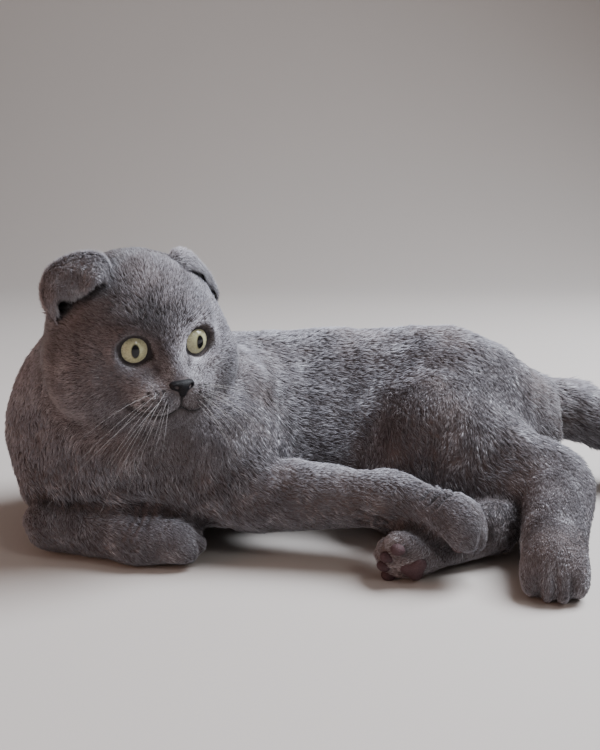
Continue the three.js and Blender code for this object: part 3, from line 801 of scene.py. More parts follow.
def smooth_path(points, count):
    """A curve through points: a cubic between each two, with slopes taken from their neighbours."""
    points = np.asarray(points, float)
    padded = np.concatenate((2 * points[:1] - points[1:2], points, 2 * points[-1:] - points[-2:-1]))
    t = np.linspace(0, len(points) - 1 - 1e-9, count)
    i = t.astype(int)
    t = (t - i)[:, None]
    a, b, c, d = (padded[i + k] for k in range(4))
    return 0.5 * (2 * b + (c - a) * t + (2 * a - 5 * b + 4 * c - d) * t**2 + (3 * b - a - 3 * c + d) * t**3)


def mouth_distance(places):
    """How far each point lies from the lines of the mouth, seen along the nose, in millimetres."""
    spot = from_head(places)
    line = np.concatenate(mouth_paths())
    away = np.full(len(places), 99.0)
    front = (spot[:, 0] > 22) & (np.abs(spot[:, 1]) < 32) & (spot[:, 2] < -10)
    across = spot[front][:, None, 1:] - line[None]
    away[front] = np.linalg.norm(across, axis=2).min(1)
    return away


def mouth_groove(places):
    """How deep the skin is pressed in along the lines of the mouth."""
    return GROOVE_DEPTH * np.exp(-((mouth_distance(places) / GROOVE_WIDTH) ** 2))


def bare_places(places):
    """1 where the skin is dark and nearly bare: between the lips, along the lids and at the eyes' corners."""
    dark = np.exp(-((mouth_distance(places) / 1.3) ** 2))
    for side in (-1, 1):
        dark = np.maximum(dark, tear_line(places, side))
        dark = np.maximum(dark, eye_rim(places, side))
    return dark


def by_eyes(places):
    """1 right beside the lids and 0 a third of an eye's width away from them."""
    total = np.zeros(len(places))
    for side in (-1, 1):
        far, share, front = eye_place(places, side)
        total = np.maximum(total, smoothstep(1.65, 1.15, share) * (front > 0) * (far < 20 * MM) * (share > 1))
    return total


def eye_rim(places, side):
    """The dark edge of the lids, wider towards the nose and below than above."""
    centre, _, across, _, up = eye_frame(side)
    far, share, front = eye_place(places, side)
    turn = unit(places - centre)
    low = np.clip(-(turn @ across) - 0.6 * (turn @ up), 0, 1)
    return smoothstep(1.12 + 0.2 * low, 1.03 + 0.12 * low, share) * (front > 0) * (far < 0.018)


def tear_line(places, side):
    """The dark wedge that runs from an eye's inner corner towards the nose."""
    spot = from_head(places)
    start, end = np.array(TEAR_LINE) * (1, side, 1)
    run = end - start
    along = np.clip((spot - start) @ run / (run @ run), 0, 1)
    away = np.linalg.norm(spot - start - along[:, None] * run, axis=1)
    return 0.8 * smoothstep(3.4, 1.2, away + 1.2 * along)


def painted_light_and_tone(places):
    """Where the coat is silvery, above 0, or dusky, below 0: bells round points of the head, mostly painted
    highlight and painted shade, and on the whisker pads partly paler fur.
    """
    f, l, u = from_head(places).T
    total = np.zeros(len(places))
    for (ahead, left, high), (deep, wide, tall), strength in PAINTED_LIGHT_AND_TONE_BELLS:
        spread = ((f - ahead) / deep) ** 2 + ((l - left) / wide) ** 2 + ((u - high) / tall) ** 2
        total += strength * np.exp(-spread)
    return total


def unwrap(skin):
    """Lays the skin out flat for the bake, cut where it turns sharply."""
    skin.data.uv_layers.new(name="OFBake")
    bpy.context.view_layer.objects.active = skin
    skin.select_set(True)
    bpy.ops.object.mode_set(mode="EDIT")
    bpy.ops.mesh.select_all(action="SELECT")
    bpy.ops.uv.smart_project(angle_limit=math.radians(66), island_margin=0.002)
    bpy.ops.object.mode_set(mode="OBJECT")
    skin.select_set(False)


# The coat


def lie_of_coat(points, normals):
    """The direction of the hairs at each point: away from the nose over the head, then along the nearest
    lines of the body, laid on the skin, with slow and quick swirls."""
    spot = from_head(points)
    away = unit(spot - np.array(NOSE_TIP)) + np.array((-0.5, 0, 0))
    away = unit(away @ HEAD_AXES + np.array((0, 0, -0.25)))
    for side in (-1, 1):
        far, _, front = eye_place(points, side)
        near = (smoothstep(*EYE_SWIRL, far) * (front > 0))[:, None]
        away = unit(away * (1 - 0.5 * near) + unit(points - eye_frame(side)[0]) * 0.8 * near)
    body = np.zeros_like(points)
    for line, reach in LIES:
        line = np.array(line) * MM
        for start, end in zip(line[:-1], line[1:]):
            run = end - start
            t = np.clip((points - start) @ run / (run @ run), 0, 1)
            gap = np.linalg.norm(points - start - t[:, None] * run, axis=1) / (reach * MM)
            weight = np.exp(-((3 * np.maximum(gap - 0.8, 0)) ** 2)) + 1e-4 / (0.1 + gap)
            body += unit(run) * weight[:, None]
    body = unit(unit(body) + np.array((0, 0, -0.3)))
    on_head = smoothstep(76, 56, np.linalg.norm(spot - (0, 0, -4), axis=1))[:, None]
    flow = away * on_head + body * (1 - on_head)
    calm = (1 - 0.6 * face_share(points))[:, None]
    for size, strength, seed in SWIRLS:
        swirl = np.stack([waves(points, size, seed + axis) for axis in range(3)], 1)
        flow = flow + strength * swirl * calm
    flow = flow - normals * (flow * normals).sum(1, keepdims=True)
    return unit(flow)


def blended(values, share):
    """Values at the corners of triangles, blended by the share of each corner."""
    return (values * share.reshape(share.shape + (1,) * (values.ndim - 2))).sum(1)


def sown(rng, places, triangles, weight, count):
    """Random points over triangles, as many on each as its area times its weight asks: the number of each
    point's triangle, the share of each corner in it, and the corners."""
    a, b, c = (places[triangles[:, k]] for k in range(3))
    area = np.linalg.norm(np.cross(b - a, c - a), axis=1) * weight
    chosen = np.searchsorted(np.cumsum(area) / area.sum(), rng.random(count))
    chosen = np.minimum(chosen, len(triangles) - 1)
    u, v = rng.random((2, count))
    fold = u + v > 1
    u, v = np.where(fold, 1 - u, u), np.where(fold, 1 - v, v)
    return chosen, np.stack((1 - u - v, u, v), 1), triangles[chosen]


def gathered(tips, roots, cell, pull, rng):
    """Tips drawn together in clumps, and a random level for each clump: each tip goes part of the way to the
    mean of the tips whose roots lie in the same wavy cell."""
    moved = roots + 0.35 * cell * np.stack([waves(roots, 3 * cell, 71 + axis) for axis in range(3)], 1)
    key = np.floor(moved / cell).astype(np.int64)
    key = key[:, 0] * 73856093 ^ key[:, 1] * 19349663 ^ key[:, 2] * 83492791
    _, group = np.unique(key, return_inverse=True)
    count = np.bincount(group)
    mean = np.stack([np.bincount(group, tips[:, axis]) / count for axis in range(3)], 1)
    return tips + pull * (mean[group] - tips), rng.normal(size=len(count))[group]


def add_tufts(name, roots, normals, flow, length, width, lift, shade, uv, material):
    """Thin closed tufts of four faces: two corners at the root, a ridge a third of the way along, and a tip.
    The tip is the root plus the lie of the coat times the length, raised by the lift and drawn into its
    clump. What would pass the floor is turned back above it."""
    side = unit(np.cross(normals, flow))
    rise = unit(flow + lift[:, None] * normals)
    base = roots - 0.25 * width[:, None] * normals
    a = base - 0.5 * width[:, None] * side
    b = base + 0.5 * width[:, None] * side
    ridge = base + TUFT_RIDGE * (length[:, None] * rise + width[:, None] * normals)
    tip = base + length[:, None] * rise - (0.1 * length)[:, None] * normals
    tip, clump = gathered(tip, roots, 3.0 * width.mean(), 0.3, np.random.default_rng(SEED + len(roots)))
    places = np.stack((a, b, ridge, tip), 1).reshape(-1, 3)
    places[:, 2] = np.where(places[:, 2] < FLOOR_GAP, 2 * FLOOR_GAP - 0.1 * places[:, 2], places[:, 2])
    corners = np.array(((0, 1, 3), (0, 3, 2), (1, 2, 3), (0, 2, 1)))
    faces = (corners[None] + 4 * np.arange(len(roots))[:, None, None]).reshape(-1, 3)
    coat = add_mesh(name, places, faces)
    add_values(coat, "tone", np.tile((0.0, 0.0, 0.45, 1.0), len(roots)))
    add_values(coat, "shade", np.repeat(shade + 0.07 * clump, 4))
    patch = BAKE_PATCH * np.array(((-0.5, -0.5), (0.5, -0.5), (0, 0.1), (0, 0.5)))
    spots = np.clip(uv[:, None] + patch[None], 0, 1).reshape(-1, 2)
    layer = coat.data.uv_layers.new(name="OFBake")
    layer.data.foreach_set("uv", spots[faces.ravel()].astype(np.float32).ravel())
    return dress(coat, material)


def skin_values(skin, name):
    """The numbers that add_values left at the skin's vertices."""
    values = np.empty(len(skin.data.vertices), np.float32)
    skin.data.attributes[name].data.foreach_get("value", values)
    return values.astype(float)


def loop_uvs(mesh):
    """The places of each triangle's corners on the unwrapped skin."""
    uv = np.empty(len(mesh.loops) * 2, np.float32)
    mesh.uv_layers["OFBake"].data.foreach_get("uv", uv)
    loops = np.empty(len(mesh.loop_triangles) * 3, np.int32)
    mesh.loop_triangles.foreach_get("loops", loops)
    return uv.reshape(-1, 2)[loops].reshape(-1, 3, 2)


def whisker_roots():
    """Four rows of follicles on each pad of the muzzle, to the left and up in the head."""
    return [
        (side * (start + FOLLICLE_PITCH * column), height - 0.4 * column)
        for side in (-1, 1)
        for height, count, start in FOLLICLE_ROWS
        for column in range(count)
    ]


class CAT_OT_coat(bpy.types.Operator):
    """The coat: tufts over the whole skin, short on face and paws and long on body and tail"""

    bl_idname = "cat.coat"
    bl_label = "Coat"

    def execute(self, context):
        skin = bpy.data.objects["skin"]
        places, triangles = read_mesh(skin.data)
        normals = normals_of(places, triangles)
        uvs = loop_uvs(skin.data)
        length, dark = skin_values(skin, "length"), skin_values(skin, "dark")
        middle = places[triangles].mean(1)
        group_of = self.groups(skin_values(skin, "label").astype(int)[triangles[:, 0]], middle)
        material = coat_material()
        for number, (group, count) in enumerate(TUFTS.items()):
            rng = np.random.default_rng(SEED + number)
            weight = 1 / (length[triangles].mean(1) / MM + 1)
            weight = weight * (group_of == group) * np.where(middle[:, 2] < UNDERSIDE, 0.3, 1)
            if group == "face":
                weight = weight * (1 + 1.5 * (by_eyes(middle) > 0))
            picked, share, corner = sown(rng, places, triangles, weight, count)
            roots, keep = self.off_the_bare(blended(places[corner], share))
            up = unit(blended(normals[corner], share))[keep]
            uv = blended(uvs[picked], share)[keep]
            # bare holds the dark bare skin and also the painted shade of the creases and wrist wrinkles
            long, bare = blended(length[corner], share)[keep], blended(dark[corner], share)[keep]
            self.grow(f"coat_{group}", roots[keep], up, uv, long, bare, rng, material)
        return {"FINISHED"}

    def groups(self, label, middle):
        """The group of the coat that each triangle is in, by the number of its solid and its middle."""
        group_of = np.array([group for group, members in FLESH.items() for _ in members])[label]
        return np.where((group_of == "head") & (face_share(middle) > 0.3), "face", group_of)

    def off_the_bare(self, roots):
        """Roots lifted clear of the eyeballs, and False for those on the eyes, lips, nose leather or pads."""
        keep = np.ones(len(roots), bool)
        for side in (-1, 1):
            far, near, front = eye_place(roots, side)
            centre, radius, *_ = eye_frame(side)
            keep &= ~((front > 0) & (far < radius + 4 * MM) & (near < 1.06))
            close = (front > 0) & (far < radius + LID_LIFT)
            out = centre + unit(roots - centre) * (radius + LID_LIFT)
            roots = np.where(close[:, None], out, roots)
        keep &= mouth_distance(roots) > 0.9
        keep &= ~on_pads(roots)
        keep &= np.linalg.norm((from_head(roots) - NOSE_TIP) / NOSE_REACH, axis=1) > 1
        return roots, keep

    def grow(self, name, roots, up, uv, long, bare, rng, material):
        """Tufts at these roots, each with its own direction, length, width, lift and shade."""
        coat = bpy.context.scene.cat_coat
        size = len(roots)
        flow = lie_of_coat(roots, up)
        flow = unit(flow + 0.22 * rng.normal(size=(size, 3)))
        flow = unit(flow - up * (flow * up).sum(1, keepdims=True))
        long = long * rng.uniform(0.65, 1.2, size)
        wide = coat.tuft_width * (0.45 + 0.075 * long / MM) * rng.uniform(0.7, 1.3, size)
        lift = coat.lift * (1 + 0.5 * waves(roots, 0.02, 51)) + 0.12 * np.abs(rng.normal(size=size))
        # Random tone for each tuft and in waves, then the bells of the head: painted highlight and painted
        # shade for the most part
        shade = 0.2 * rng.normal(size=size) + 0.17 * waves(roots, 0.012, 61) + painted_light_and_tone(roots)
        shade = shade - 0.8 * np.maximum(tear_line(roots, -1), tear_line(roots, 1)) + 0.27 * by_eyes(roots)
        # Darker on bare dark skin, and painted shade in the creases and wrist wrinkles
        shade = shade - 0.95 * bare
        if name == "coat_face":
            spot = from_head(roots)
            gap = np.linalg.norm(spot[:, None, 1:] - np.array(whisker_roots())[None], axis=2).min(1)
            shade = shade - 1.3 * ((gap < FOLLICLE_REACH) & (spot[:, 0] > 30))
        add_tufts(name, roots, up, flow, long, wide, lift, shade, uv, material)


# The folded ears, in columns from the front edge over the crown side to the outer wall. Each column rises
# from its root to the crest of the fold and comes down to the free edge: places on the left of the head, in
# millimetres. Crest and rim are then drawn towards the root by a share of their own on each side. The wall
# thins from root to free edge, and each of its faces is a grid of rows and columns.
EAR_COLUMNS = (
    ((13, 24, 40), (15, 24.5, 46.5), (24, 29, 41.5)),
    ((2, 22, 45), (6, 24, 51.5), (20, 32.6, 42)),
    ((-8, 33, 41), (0, 34, 53.5), (18, 38.8, 39.5)),
    ((-14, 44, 28), (-6, 47, 49), (13, 45.5, 34.4)),
    ((-8, 48, 18), (-8, 53.5, 38.5), (7, 51.3, 32.3)),
    ((-2, 50, 8), (-5, 55, 24), (1, 53.6, 18)),
)
EAR_CREST = {-1: 0.86, 1: 0.44}
EAR_RIM = {-1: 0.94, 1: 0.5}
EAR_THICK = (2.6, 1.0)
EAR_GRID = (30, 72)

# The fur of an ear outside, along its free edge and inside: how many tufts, between which shares of the way
# to the free edge they stand, how long they are against the length set for the ears, and how pale
EAR_FUR = {
    "fur": (12000, (0.0, 1.0), 1.0, 0.16),
    "fringe": (2400, (0.92, 1.0), 1.3, 0.25),
    "lining": (2600, (0.05, 0.95), 1.2, -0.1),
}


def ear_sheet(side, rows, columns):
    """The middle of an ear's wall, rows from root to free edge and columns round it, in the head's
    frame. Each column is a parabola through its root, crest and rim. The roots and both ends sink into the
    head, and the wall waves a little."""
    root, crest, rim = (smooth_path([column[k] for column in EAR_COLUMNS], columns) for k in range(3))
    crest = root + EAR_CREST[side] * (crest - root)
    rim = root + EAR_RIM[side] * (rim - root)
    t = np.linspace(0, 1, rows)[:, None, None]
    peak = 2 * crest - 0.5 * root - 0.5 * rim
    sheet = root * (1 - t) ** 2 + 2 * peak * t * (1 - t) + rim * t**2
    sheet = sheet - 6 * unit(sheet) * smoothstep(0.22, 0, t)
    share = np.linspace(0, 1, columns)[None, :, None]
    grown = smoothstep(-0.02, 0.3, share) * smoothstep(1.02, 0.82, share)
    sheet = root + (sheet - root) * (0.25 + 0.75 * grown) - 8 * unit(root) * (1 - grown) ** 2
    wave = waves(sheet.reshape(-1, 3) + 40 * side, 13, 81).reshape(rows, columns, 1)
    sheet = sheet + 0.8 * unit(sheet) * wave * smoothstep(0.3, 1, t)
    return sheet * (1, side, 1)


def sheet_normals(sheet):
    """Outward directions over an ear's wall: the cross product of its slopes, turned away from the head."""
    facing = unit(np.cross(np.gradient(sheet, axis=1), np.gradient(sheet, axis=0)))
    middle = slice(len(sheet) // 4, len(sheet) // 2)
    return facing * np.sign((facing[middle] * sheet[middle]).sum())


def outward(places, faces):
    """The faces of a closed surface, turned round if the volume that they enclose comes out negative."""
    a, b, c, d = (places[faces[:, corner]] for corner in range(4))
    volume = (a * (np.cross(b, c) + np.cross(c, d))).sum()
    return faces if volume > 0 else faces[:, ::-1]


class CAT_OT_ears(bpy.types.Operator):
    """The folded ears: thin shells with a cup, fur outside, long hairs inside and a fringe along the edge"""

    bl_idname = "cat.ears"
    bl_label = "Ears"

    def execute(self, context):
        coat = context.scene.cat_coat
        material = ear_material()
        for side, node in ((-1, "right_ear"), (1, "left_ear")):
            sheet = ear_sheet(side, *EAR_GRID)
            facing = sheet_normals(sheet)
            thick = np.linspace(*EAR_THICK, len(sheet))[:, None, None] / 2
            outer, inner = sheet + facing * thick, sheet - facing * thick
            ear = self.shell(f"{node}_shell", outer, inner, material)
            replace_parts(ear, node)
            rng = np.random.default_rng(SEED + 40 + side)
            self.fur(f"{node}_fur", outer, facing, 1.9 * coat.lift, rng, *EAR_FUR["fur"])
            self.fur(f"{node}_fringe", sheet, facing, 0.15, rng, *EAR_FUR["fringe"])
            self.fur(f"{node}_lining", inner, -facing, 0.35, rng, *EAR_FUR["lining"])
        return {"FINISHED"}

    def shell(self, name, outer, inner, material):
        """The closed wall: its outer face, its inner face, and strips that join them all round."""
        rows, columns, _ = outer.shape
        places = in_head(np.concatenate((outer, inner[::-1])).reshape(-1, 3))
        walls = grid_faces(2 * rows, columns, closed_rows=True)
        step = np.arange(rows - 1)
        end = np.stack((step, step + 1, 2 * rows - 2 - step, 2 * rows - 1 - step), 1)
        ends = np.concatenate((end * columns, end[:, ::-1] * columns + columns - 1))
        shell = add_mesh(name, places, outward(places, np.concatenate((walls, ends))))
        add_values(shell, "hollow", np.repeat(np.arange(2 * rows) >= rows, columns))
        return dress(shell, material)

    def fur(self, name, sheet, facing, lift, rng, count, band, size, pale):
        """Tufts over a band of an ear's wall. They lie along the wall towards its free edge, the pale ones
        less in order."""
        coat = bpy.context.scene.cat_coat
        rows, columns, _ = sheet.shape
        places = in_head(sheet.reshape(-1, 3))
        faces = grid_faces(rows, columns)
        faces = np.concatenate((faces[:, [0, 1, 2]], faces[:, [0, 2, 3]]))
        way = np.repeat(np.linspace(0, 1, rows), columns)[faces].mean(1)
        ends = np.tile(np.abs(np.linspace(-1, 1, columns)), rows)[faces].mean(1)
        low, high = band
        weight = (way >= low) & (way <= high) & (ends < 1.05 - 0.3 * low)
        _, share, corner = sown(rng, places, faces, weight, count)
        roots = blended(places[corner], share)
        up = unit(blended(facing.reshape(-1, 3)[corner], share) @ HEAD_AXES)
        slope = np.gradient(sheet, axis=0).reshape(-1, 3)
        flow = unit(blended(slope[corner], share) @ HEAD_AXES)
        flow = unit(flow + (0.25 + 0.3 * (pale > 0)) * rng.normal(size=(count, 3)) * 0.8)
        flow = unit(flow - up * (flow * up).sum(1, keepdims=True))
        column, row = (corner % columns * share).sum(1), (corner // columns * share).sum(1)
        uv = np.stack((column / columns, row / rows), 1)
        long = size * coat.ear_length * rng.uniform(0.55, 1.2, count)
        wide = coat.tuft_width * 0.72 * rng.uniform(0.7, 1.3, count)
        rise = lift * 0.8 + 0.12 * np.abs(rng.normal(size=count))
        shade = pale + 0.15 * rng.normal(size=count) + 0.1 * waves(roots, 0.01, 62)
        add_tufts(name, roots, up, flow, long, wide, rise, shade, uv, bpy.data.materials["fur"])


class CAT_OT_eyes(bpy.types.Operator):
    """Both eyeballs with iris, pupil and cornea, and the lids round them"""

    bl_idname = "cat.eyes"
    bl_label = "Eyes and lids"

    def execute(self, context):
        iris = eye_material()
        rim = plain_material("lid_rim", context.scene.cat_eyes.lid, 0.5, specular=0.12, coat=0.04)
        for side, name in ((-1, "right_eye"), (1, "left_eye")):
            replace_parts(self.eyeball(name, side, iris), name)
            self.lids(name, side, rim)
        return {"FINISHED"}

    def eyeball(self, name, side, material):
        """A ball whose front swells into the cornea: its radius grows by a smooth bump near the axis."""
        centre, radius, across, out, up = eye_frame(side)
        rows, columns = 48, 64
        tilt = np.linspace(0.004, math.pi - 0.004, rows)[:, None]
        turn = np.arange(columns) * 2 * math.pi / columns
        reach = radius * (0.985 + 0.035 * np.exp(-((tilt / 0.62) ** 4)))
        a = reach * np.sin(tilt) * np.cos(turn)
        b = reach * np.sin(tilt) * np.sin(turn)
        c = np.broadcast_to(reach * np.cos(tilt), a.shape)
        level = across * math.cos(math.radians(LID_TILT)) - up * math.sin(math.radians(LID_TILT))
        places = centre + a[..., None] * level + b[..., None] * CROWN + c[..., None] * out
        faces = grid_faces(rows, columns, closed_columns=True)
        if side < 0:
            faces = faces[:, ::-1]
        caps = np.stack((np.arange(1, columns - 1), np.arange(2, columns)), 1)
        caps = np.insert(caps, 0, 0, axis=1)
        end = caps + (rows - 1) * columns
        both = np.concatenate((caps[:, ::-1], end) if side > 0 else (caps, end[:, ::-1]))
        ball = add_mixed(name + "_ball", places.reshape(-1, 3), faces, both)
        add_values(ball, "across", a.ravel())
        add_values(ball, "up", b.ravel())
        return dress(ball, material)

    def lids(self, name, side, material):
        """The edge of both lids: a bead that follows the opening on the eyeball and flares out beneath the
        fur. Across the bead the height over the eyeball rises along a sine, dips a little and stays level."""
        centre, radius, across, out, up = eye_frame(side)
        rows, columns = 13, 96
        angle = np.arange(columns) * 2 * math.pi / columns
        reach = lid_reach(angle)
        t = np.linspace(0, 1, rows)[:, None]
        spread = reach + t * LID_SPREAD
        height = radius + LID_GAP + LID_HEIGHT * np.sin(math.pi * np.clip(t * 1.15 + 0.12, 0, 0.62))
        slope = np.minimum(spread / height, 0.985)
        a = height * slope * np.cos(angle)
        b = height * slope * np.sin(angle)
        c = height * np.sqrt(1 - slope**2)
        top = centre + a[..., None] * across + b[..., None] * up + c[..., None] * out
        far = np.linalg.norm(top - centre, axis=2, keepdims=True)
        under = centre + (top - centre) * ((radius - LID_SUNK) / far)
        places = np.concatenate((top, under[::-1]))
        faces = grid_faces(2 * rows, columns, closed_rows=True, closed_columns=True)
        if side < 0:
            faces = faces[:, ::-1]
        lids = add_mesh(name + "_lids", places.reshape(-1, 3), faces)
        return dress(lids, material)


def on_skin(points, tree, lift=0.0):
    """Points to the left and up in the head, cast backwards on to the face and raised by the lift, with the
    outward directions there."""
    found, outwards = [], []
    for l, u in points:
        start = in_head((90, l, u))
        hit, normal, _, _ = tree.ray_cast(Vector(start), Vector(-FORWARD))
        if hit is None:
            raise RuntimeError("a line of the face misses the skin")
        found.append(np.array(hit) + np.array(normal) * lift)
        outwards.append(np.array(normal))
    return np.array(found), np.array(outwards)


def skin_tree():
    return search_tree(*read_mesh(bpy.data.objects["skin"].data))


class CAT_OT_nose(bpy.types.Operator):
    """The nose leather with its nostrils, and the dark lips along the line of the mouth"""

    bl_idname = "cat.nose"
    bl_label = "Nose and mouth"

    def execute(self, context):
        places, faces = remeshed(["nose"], NOSE_CELL)
        places = smoothed(faces, places, 0.5, 10)
        leather = add_mesh("nose_leather", places, faces)
        dress(leather, leather_material("nose_leather", context.scene.cat_colours.nose, 0.0009))
        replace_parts(leather, "nose")
        tree = skin_tree()
        lips, cleft = mouth_paths()
        material = plain_material("lips", context.scene.cat_eyes.lid, 0.5)
        for name, line, thick in (("lips", lips, 0.55), ("cleft", cleft, 0.5)):
            path, _ = on_skin(line, tree, 0.1 * MM)
            share = np.linspace(0, math.pi, len(path))
            radii = thick * MM * (0.25 + 0.75 * np.sin(share) ** 0.5)
            places, quads, caps = tubes(path[None], radii[None], 8)
            dress(add_mixed(name, places, quads, caps), material)
        return {"FINISHED"}


class CAT_OT_whiskers(bpy.types.Operator):
    """Whiskers of the muzzle and the brows: long tapered hairs that bend back and down"""

    bl_idname = "cat.whiskers"
    bl_label = "Whiskers"

    def execute(self, context):
        sizes = context.scene.cat_whiskers
        rng = np.random.default_rng(SEED + 90)
        tree = skin_tree()
        roots = whisker_roots()
        start, out = on_skin(roots, tree)
        count = len(roots)
        side = np.sign([l for l, _ in roots])
        column = (np.abs([l for l, _ in roots]) - 9) / FOLLICLE_PITCH
        row = (np.array([u for _, u in roots]) + 27) / 10
        material = plain_material("whisker", (0.46, 0.45, 0.45), 0.4, 0.1)
        ahead = np.stack((0.4 - 0.16 * column, side * (0.62 + 0.1 * column), 0.32 * row - 0.66), 1)
        ahead = unit(ahead + 0.07 * rng.normal(size=(count, 3))) @ HEAD_AXES
        ahead = unit(ahead + 0.35 * out)
        long = sizes.length * (0.6 + 0.13 * column) * rng.uniform(0.75, 1.1, count)
        sag = np.array((0, 0, -1)) * 0.34 - 0.16 * FORWARD
        self.hairs("whiskers", start, ahead, long, sag, sizes.thickness, rng, material)
        brows = [(side * (15 + 2.2 * k), 21 + 0.8 * k) for side in (-1, 1) for k in range(4)]
        start, out = on_skin(brows, tree)
        ahead = np.array([(0.5, np.sign(l) * (0.25 + 0.1 * k), 0.85) for k, (l, _) in enumerate(brows)])
        ahead = unit(unit(ahead) @ HEAD_AXES + 0.4 * out + 0.06 * rng.normal(size=(len(brows), 3)))
        long = 0.42 * sizes.length * rng.uniform(0.7, 1.1, len(brows))
        self.hairs("brow_whiskers", start, ahead, long, sag, 0.7 * sizes.thickness, rng, material)
        return {"FINISHED"}

    def hairs(self, name, start, ahead, long, sag, thick, rng, material):
        """Each hair runs out along its first direction and bends by the square of the way along it."""
        t = np.linspace(0, 1, 14)[None, :, None]
        bend = sag * rng.uniform(0.6, 1.4, (len(start), 1, 1))
        root = start[:, None] - 1.2 * MM * ahead[:, None]
        path = root + long[:, None, None] * (ahead[:, None] * t + bend * t**2)
        radii = thick / 2 * (1 - 0.85 * t[..., 0]) * np.ones((len(start), 1))
        places, quads, caps = tubes(path, radii, 5)
        return dress(add_mixed(name, places, quads, caps), material)


# The sole's pad and those of the toes: places and reaches in a paw's own frame, and the share of those places
# at which each paw has them, so that some lie deeper in the fur. Each pad is a grid of rows and columns.
PAD_PLACES = [((-2, 0, -11.5), (7.5, 8.5, 4.5))] + [
    ((15.5 - 2.2 * row * row, row * TOE_PITCH, -9.8), (4.4, 3.3, 3.6)) for row in TOE_ROWS
]
PAD_SHARE = {"right_hind_paw": 1, "left_hind_paw": 0.9, "left_forepaw": 0.84, "right_forepaw": 0.84}
PAD_GRID = (14, 20)


def on_pads(points):
    """True where a point lies on a bare pad of a hind paw. Fur hides the pads of the forepaws."""
    bare = np.zeros(len(points), bool)
    for paw in ("left_hind_paw", "right_hind_paw"):
        spot = in_paw(points, paw)
        for centre, radii in PAD_PLACES:
            bare |= np.linalg.norm((spot - centre) / radii, axis=1) < 0.95
    return bare


class CAT_OT_pads(bpy.types.Operator):
    """Bare pads under the toes and the soles of the four paws"""

    bl_idname = "cat.pads"
    bl_label = "Pads"

    def execute(self, context):
        colours = context.scene.cat_colours
        material = leather_material("pad_leather", colours.pad, 0.0012)
        for paw in PAWS:
            centre, axes, size = paw_axes(paw)
            parts, faces = [], []
            for number, (place, radii) in enumerate(PAD_PLACES):
                ball = self.pad(np.array(place) * PAD_SHARE[paw], radii, waist=0.22 if number == 0 else 0)
                parts.append(centre + ball * size * MM @ axes)
                faces.append(grid_faces(*PAD_GRID, closed_columns=True) + number * len(ball))
            places = np.concatenate(parts)
            places[:, 2] = np.maximum(places[:, 2], 0.2 * MM)
            dress(add_mesh(f"{paw}_pads", places, np.concatenate(faces)), material)
        return {"FINISHED"}

    def pad(self, place, radii, waist):
        """An ellipsoid whose reach swells and shrinks by the waist times the cosine of three times the angle
        round it, which gives the sole's pad its three lobes."""
        rows, columns = PAD_GRID
        tilt = np.linspace(0.02, math.pi - 0.02, rows)[:, None]
        turn = np.arange(columns) * 2 * math.pi / columns
        reach = np.sin(tilt) * (1 + waist * np.cos(3 * turn))
        high = np.broadcast_to(np.cos(tilt), reach.shape)
        ball = np.stack((reach * np.cos(turn), reach * np.sin(turn), high), 2)
        return place + ball.reshape(-1, 3) * radii


# The camera's lens in millimetres, its place, and how many degrees it looks down
CAMERA_LENS = 50.4
CAMERA_PLACE = (0, -0.7, 0.24)
CAMERA_DROP = 11.8


class CAT_OT_stage(bpy.types.Operator):
    """A plain pale floor that bends up into a wall, soft studio light and the camera"""

    bl_idname = "cat.stage"
    bl_label = "Stage"

    def execute(self, context):
        scene = context.scene
        stage = scene.cat_stage
        floor = self.floor(4, 1.2)
        world = bpy.data.worlds.new("studio")
        world.use_nodes = True
        sky = world.node_tree.nodes["Background"]
        sky.inputs["Color"].default_value = (1.0, 0.92, 0.9, 1.0)
        sky.inputs["Strength"].default_value = stage.ambient
        scene.world = world
        self.lamp("window", (0.85, 0.2, 1.2), stage.key, 0.9, (0.88, 0.93, 1.0))
        self.lamp("room", (-1.2, -0.8, 0.35), stage.fill, 1.0, (1.0, 0.58, 0.42))
        self.lamp("front", (1.0, -1.1, 1.3), stage.front, 0.5, (1.0, 0.98, 0.96))
        camera = bpy.data.cameras.new("camera")
        camera.sensor_width = 36
        camera.lens = CAMERA_LENS
        holder = bpy.data.objects.new("camera", camera)
        holder.location = CAMERA_PLACE
        holder.rotation_euler = (math.radians(90 - CAMERA_DROP), 0, 0)
        scene.collection.objects.link(holder)
        scene.camera = holder
        return {"FINISHED"}

    def floor(self, reach, bend):
        """A sheet from its near edge to the bend, a quarter circle of one metre, and a wall as high as the
        sheet reaches to each side."""
        turn = np.linspace(0, math.pi / 2, 16)
        ahead = np.concatenate(((-reach,), bend + np.sin(turn), (bend + 1,)))
        high = np.concatenate(((0,), 1 - np.cos(turn), (reach,)))
        edges = [np.stack((np.full(len(ahead), wide), ahead, high), 1) for wide in (reach, -reach)]
        floor = add_mesh("floor", np.stack(edges, 1).reshape(-1, 3), grid_faces(len(ahead), 2))
        floor.data.materials.append(plain_material("floor", (0.52, 0.48, 0.45), 0.9, 0.02, 0.5))
        return floor

    def lamp(self, name, place, energy, size, colour):
        """A square lamp that looks at the cat."""
        light = bpy.data.lights.new(name, "AREA")
        light.energy = energy
        light.size = size
        light.color = colour
        holder = bpy.data.objects.new(name, light)
        holder.location = place
        aim = Vector((0.0, -0.05, 0.08)) - Vector(place)
        holder.rotation_euler = aim.to_track_quat("-Z", "Y").to_euler()
        bpy.context.scene.collection.objects.link(holder)


def colour_property(name, description, default):
    return bpy.props.FloatVectorProperty(
        name=name, description=description, default=default, size=3, min=0, max=1, subtype="COLOR"
    )


def length_property(name, description, default):
    return bpy.props.FloatProperty(name=name, description=description, default=default, min=0, unit="LENGTH")


def power_property(name, description, default):
    return bpy.props.FloatProperty(name=name, description=description, default=default, min=0, unit="POWER")


